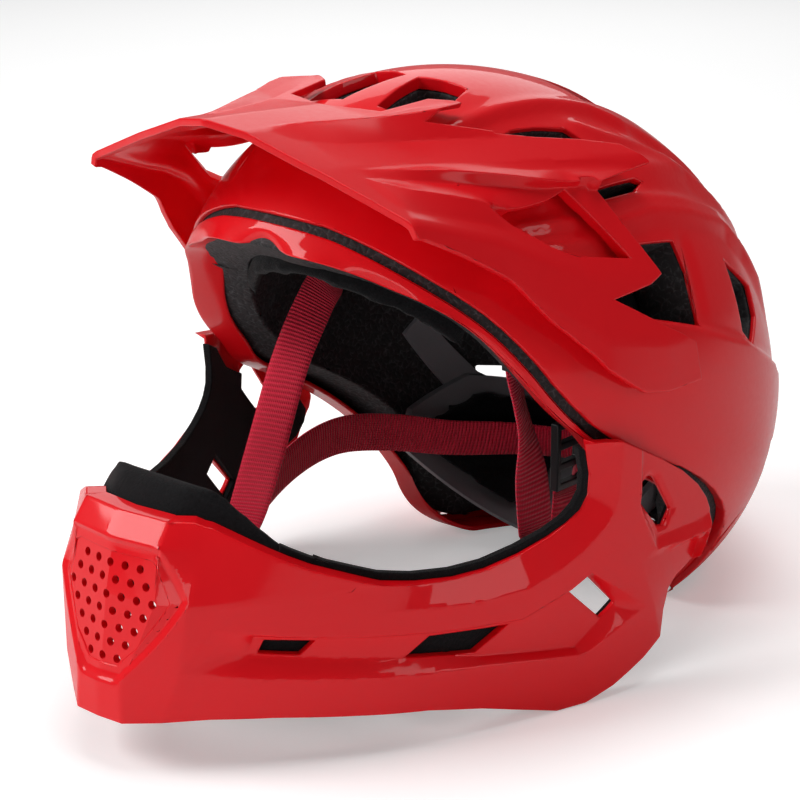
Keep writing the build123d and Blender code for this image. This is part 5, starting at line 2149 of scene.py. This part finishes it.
@dataclass(frozen=True)
class LadderLock:
    """Moulded strap fitting: bars across a frame, which the webbing is threaded through."""

    node: str
    shares: Point3
    upright: bool
    slots: int
    wide: float = 15.0
    tall: float = 26.0
    thick: float = 3.6
    rail: float = 2.4
    bar: float = 2.8
    edge: float = 0.6
    edge_angle: float = 40.0
    edge_faces: int = 3

    def bars(self) -> list[float]:
        """Lays out the bars from one end of the frame to the other.

        Returns:
            The heights of their edges.
        """
        gap = (self.tall - self.bar * (self.slots + 1)) / self.slots
        heights = []
        for index in range(self.slots + 1):
            low = index * (self.bar + gap) - self.tall / 2
            heights += [low, low + self.bar]
        return heights

    def build(self) -> bpy.types.Object:
        """Opens the slots in a coarse grid, sets its lines and thickens it.

        Returns:
            The new object.
        """
        rows = self.slots * 2 + 1
        heights = self.bars()
        half = self.wide / 2
        columns = [-half, self.rail - half, half - self.rail, half]
        bm = bmesh.new()
        bmesh.ops.create_grid(bm, x_segments=3, y_segments=rows, size=0.5)
        spare = []
        for face in bm.faces:
            centre = face.calc_center_median()
            if abs(centre.x) < 0.1 and int((centre.y + 0.5) * rows) % 2 == 1:
                spare.append(face)
        bmesh.ops.delete(bm, geom=spare, context="FACES")
        upper = double_faces(bm)
        middle = Skull.share(self.shares)
        for vert in bm.verts:
            wide = columns[round((vert.co.x + 0.5) * 3)]
            tall = heights[round((vert.co.y + 0.5) * rows)]
            thick = self.thick / 2 if vert in upper else -self.thick / 2
            offset = Vector((thick, wide, tall)) if self.upright else Vector((tall, thick, wide))
            vert.co = place(*(middle + offset))
        bmesh.ops.recalc_face_normals(bm, faces=bm.faces)
        return link_mesh(bm, f"{self.node}_ladder")

    def dress(self, paints: Paintbox) -> None:
        """Builds the fitting, rounds its edges and gives it its finish."""
        ladder = rounded(self.build(), self.edge, self.edge_angle, self.edge_faces)
        paints.dress(ladder, Slot.BLACK, Body.HELMET, self.node)


LADDERS = [
    LadderLock("strap_adjuster_left", LEFT_ADJUSTER, True, 3),
    LadderLock("strap_divider_left", LEFT_DIVIDER, True, 2),
    LadderLock("strap_divider_right", RIGHT_DIVIDER, False, 2),
]


@dataclass(frozen=True)
class Pad:
    """A stuffed piece, swollen with cloth pressure from the plain solid of its CAD node."""

    node: str
    body: Body
    # Millimetres: the cells of its mesh, the room left for the filling, and the most that the cloth moves
    voxel: float
    shrink: float
    cap: float
    fill: float
    pressure: float = 4.0
    frames: int = 20
    rounds: int = 4

    def build(self) -> bpy.types.Object:
        """Meshes the solid anew, softens it and swells it.

        Returns:
            The new object.
        """
        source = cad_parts[self.node]
        obj = bpy.data.objects.new(f"{self.node}_cover", source.data.copy())
        bpy.context.scene.collection.objects.link(obj)
        obj.data.transform(source.matrix_world)
        grid = obj.modifiers.new("grid", "REMESH")
        grid.mode = "VOXEL"
        grid.voxel_size = self.voxel * MM
        self.bake(obj)
        self.soften(obj)
        self.swell(obj)
        for polygon in obj.data.polygons:
            polygon.use_smooth = True
        subdivide = obj.modifiers.new("smooth", "SUBSURF")
        subdivide.levels = subdivide.render_levels = 1
        return obj

    def dress(self, paints: Paintbox) -> None:
        """Builds the pad and gives it its finish and body.

        Args:
            paints: the finishes.
        """
        obj = self.build()
        paints.dress(obj, Slot.FELT, self.body, self.node)

    @staticmethod
    def bake(obj: bpy.types.Object) -> None:
        """Replaces the mesh with its modified form and clears the modifiers.

        Args:
            obj: the pad.
        """
        graph = bpy.context.evaluated_depsgraph_get()
        mesh = bpy.data.meshes.new_from_object(obj.evaluated_get(graph))
        obj.modifiers.clear()
        obj.data = mesh

    def soften(self, obj: bpy.types.Object) -> None:
        """Takes the corners off and leaves room for the filling.

        Args:
            obj: the pad.
        """
        bm = bmesh.new()
        bm.from_mesh(obj.data)
        for _ in range(self.rounds):
            bmesh.ops.smooth_vert(bm, verts=bm.verts, factor=0.5, use_axis_x=True, use_axis_y=True, use_axis_z=True)
        bm.normal_update()
        for vert in bm.verts:
            vert.co = vert.co - vert.normal * self.shrink * MM
        bm.to_mesh(obj.data)
        bm.free()

    def swell(self, obj: bpy.types.Object) -> None:
        """Runs the cloth and keeps the result within the cap.

        Args:
            obj: the pad.
        """
        before = [vert.co.copy() for vert in obj.data.vertices]
        cloth = obj.modifiers.new("cloth", "CLOTH")
        cloth.settings.use_pressure = True
        cloth.settings.uniform_pressure_force = self.pressure
        cloth.settings.effector_weights.gravity = 0.0
        cloth.point_cache.frame_start = 1
        cloth.point_cache.frame_end = self.frames
        for step in range(1, self.frames + 1):
            bpy.context.scene.frame_set(step)
        self.bake(obj)
        bpy.context.scene.frame_set(1)
        for vert, start in zip(obj.data.vertices, before):
            move = vert.co - start
            if move.length > self.cap * MM:
                vert.co = start + move.normalized() * self.cap * MM


PADS = [
    Pad("chin_cushion", Body.CHIN, 3.0, 0.6, 1.6, 0.7),
    Pad("brow_pad", Body.HELMET, 3.5, 0.4, 1.2, 0.6),
    Pad("crown_pad", Body.HELMET, 3.0, 0.4, 1.2, 0.6),
    Pad("side_pad_left", Body.HELMET, 3.0, 0.4, 1.2, 0.6),
    Pad("side_pad_right", Body.HELMET, 3.0, 0.4, 1.2, 0.6),
    Pad("cradle_pads", Body.CRADLE, 3.0, 0.6, 0.9, 0.6),
]


@dataclass(frozen=True)
class CarriedNode:
    """A CAD node that is shown as it is, with a finish and rounded edges."""

    node: str
    slot: Slot
    width: float
    angle: float = 25.0
    planar: float = 1.0

    def dress(self, paints: Paintbox) -> None:
        """Gives the node its finish, dissolves its flat triangles and rounds its edges.

        Args:
            paints: the finishes.
        """
        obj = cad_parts[self.node]
        paints.paint(obj, self.slot)
        flat = obj.modifiers.new("flat", "DECIMATE")
        flat.decimate_type = "DISSOLVE"
        flat.angle_limit = math.radians(self.planar)
        bevel = obj.modifiers.new("round", "BEVEL")
        bevel.width = self.width * MM
        bevel.segments = 2
        bevel.limit_method = "ANGLE"
        bevel.angle_limit = math.radians(self.angle)
        bevel.harden_normals = False
        bevel.miter_outer = "MITER_ARC"
        normals = obj.modifiers.new("normals", "WEIGHTED_NORMAL")
        normals.keep_sharp = True
        normals.weight = 80
        log.info("%s is shown as it is", self.node)


CARRIED = [
    CarriedNode("visor_studs", Slot.BLACK, 0.3),
    CarriedNode("mouth_vent", Slot.RED_GLOSS, 0.2, 40.0),
    CarriedNode("band_arm_left", Slot.GREY, 0.4),
    CarriedNode("band_arm_right", Slot.GREY, 0.4),
    CarriedNode("cradle", Slot.GREY, 0.6),
    CarriedNode("fit_dial", Slot.BLACK, 0.3),
    CarriedNode("strap_anchor_left", Slot.BLACK, 0.6),
    CarriedNode("strap_anchor_right", Slot.BLACK, 0.6),
    CarriedNode("buckle_socket", Slot.BLACK, 0.4),
    CarriedNode("buckle_plug", Slot.BLACK, 0.4),
]


WHITE = (1.0, 1.0, 1.0, 1.0)


@dataclass(frozen=True)
class Lamp:
    """A rectangular soft light in metres that looks at the helmet."""

    name: str
    where: Point3
    width: float
    height: float
    watts: float
    aim: Point3 = (0.0, 0.0, 0.1)

    def build(self) -> None:
        """Hangs the lamp up."""
        data = bpy.data.lights.new(self.name, "AREA")
        data.shape = "RECTANGLE"
        data.size = self.width
        data.size_y = self.height
        data.energy = self.watts
        lamp = bpy.data.objects.new(self.name, data)
        where = Vector(self.where)
        turn = (Vector(self.aim) - where).to_track_quat("-Z", "Y").to_matrix().to_4x4()
        lamp.matrix_world = Matrix.Translation(where) @ turn
        bpy.context.scene.collection.objects.link(lamp)


LAMPS = [
    Lamp("key", (-0.75, -0.85, 0.95), 0.8, 0.6, 12.0),
    Lamp("side", (1.25, 0.25, 0.55), 0.5, 0.5, 1.8),
    Lamp("top", (0.0, 0.15, 1.35), 0.8, 0.8, 8.0),
    Lamp("rear", (-0.8, 1.0, 0.7), 0.9, 0.7, 3.0),
    Lamp("fill", (0.35, -1.25, 0.22), 0.9, 0.35, 2.8),
]


@dataclass(frozen=True)
class Studio:
    """Pale floor, soft lights and the camera at the photograph's place."""

    # In measured millimetres, with the directions behind the camera and up
    camera_place: Point3 = (675.35, -768.20, 435.06)
    camera_back: Point3 = (0.62787, -0.70967, 0.31961)
    camera_up: Point3 = (-0.20848, 0.24229, 0.94754)
    lens: float = 130.5
    sensor: float = 36.0
    floor_size: float = 3.0
    floor_glow: float = 0.30
    # Strength of the world as the camera sees it, and as a light
    world_seen: float = 1.0
    world_light: float = 0.12

    def build(self) -> None:
        """Sets everything up."""
        self.add_camera()
        self.add_floor()
        self.add_world()
        for lamp in LAMPS:
            lamp.build()

    def add_camera(self) -> None:
        """Puts the camera where the photograph was taken from."""
        back = Vector(self.camera_back).normalized()
        right = Vector(self.camera_up).normalized().cross(back).normalized()
        data = bpy.data.cameras.new("photo_camera")
        data.lens = self.lens
        data.sensor_width = self.sensor
        data.clip_start = 0.01
        camera = bpy.data.objects.new("photo_camera", data)
        turn = Matrix((right, back.cross(right), back)).transposed().to_4x4()
        camera.matrix_world = Matrix.Translation(place(*self.camera_place)) @ turn
        bpy.context.scene.collection.objects.link(camera)
        bpy.context.scene.camera = camera

    def add_floor(self) -> None:
        """Lays pale paper under the helmet, which the camera alone sees glow."""
        bm = bmesh.new()
        bmesh.ops.create_grid(bm, x_segments=8, y_segments=8, size=self.floor_size)
        floor = link_mesh(bm, "floor")
        paper = Paint("floor_paper")
        paper.shade({
            "Base Color": paper.blend(paper.noise(2.0), (0.93, 0.93, 0.93), (0.95, 0.95, 0.95)),
            "Roughness": 0.9,
            "Specular IOR Level": 0.1,
        })
        surface = paper.shader.outputs[0]
        glow = paper.add("ShaderNodeEmission", {"Color": WHITE, "Strength": self.floor_glow})
        both = paper.add("ShaderNodeAddShader", {0: surface, 1: glow.outputs[0]})
        seen = paper.add("ShaderNodeLightPath").outputs["Is Camera Ray"]
        mix = paper.add("ShaderNodeMixShader", {0: seen, 1: surface, 2: both.outputs[0]})
        paper.fill(paper.tree.nodes["Material Output"], {"Surface": mix.outputs[0]})
        floor.data.materials.append(paper.material)

    def add_world(self) -> None:
        """Surrounds the helmet with white that lights it only a little."""
        world = bpy.data.worlds.new("studio")
        world.use_nodes = True
        sky = Graph(world.node_tree)
        seen = sky.add("ShaderNodeLightPath").outputs["Is Camera Ray"]
        level = sky.add("ShaderNodeMapRange", {"To Min": self.world_light, "To Max": self.world_seen, "Value": seen})
        sky.fill(sky.tree.nodes["Background"], {"Color": WHITE, "Strength": level.outputs["Result"]})
        bpy.context.scene.world = world


def main() -> None:
    """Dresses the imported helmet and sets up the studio."""
    logging.basicConfig(level=logging.INFO, format="%(name)s: %(message)s")
    paints = Paintbox()
    shells = [ChinShell(), UpperShell(), FoamLiner(), RimShell(), VisorShell(), FeltSheet()]
    for piece in [*CARRIED, *shells, *webbing(), *LADDERS, *PADS]:
        piece.dress(paints)
    Studio().build()
    bpy.context.scene.view_settings.view_transform = "Standard"


if __name__ == "__main__":
    main()
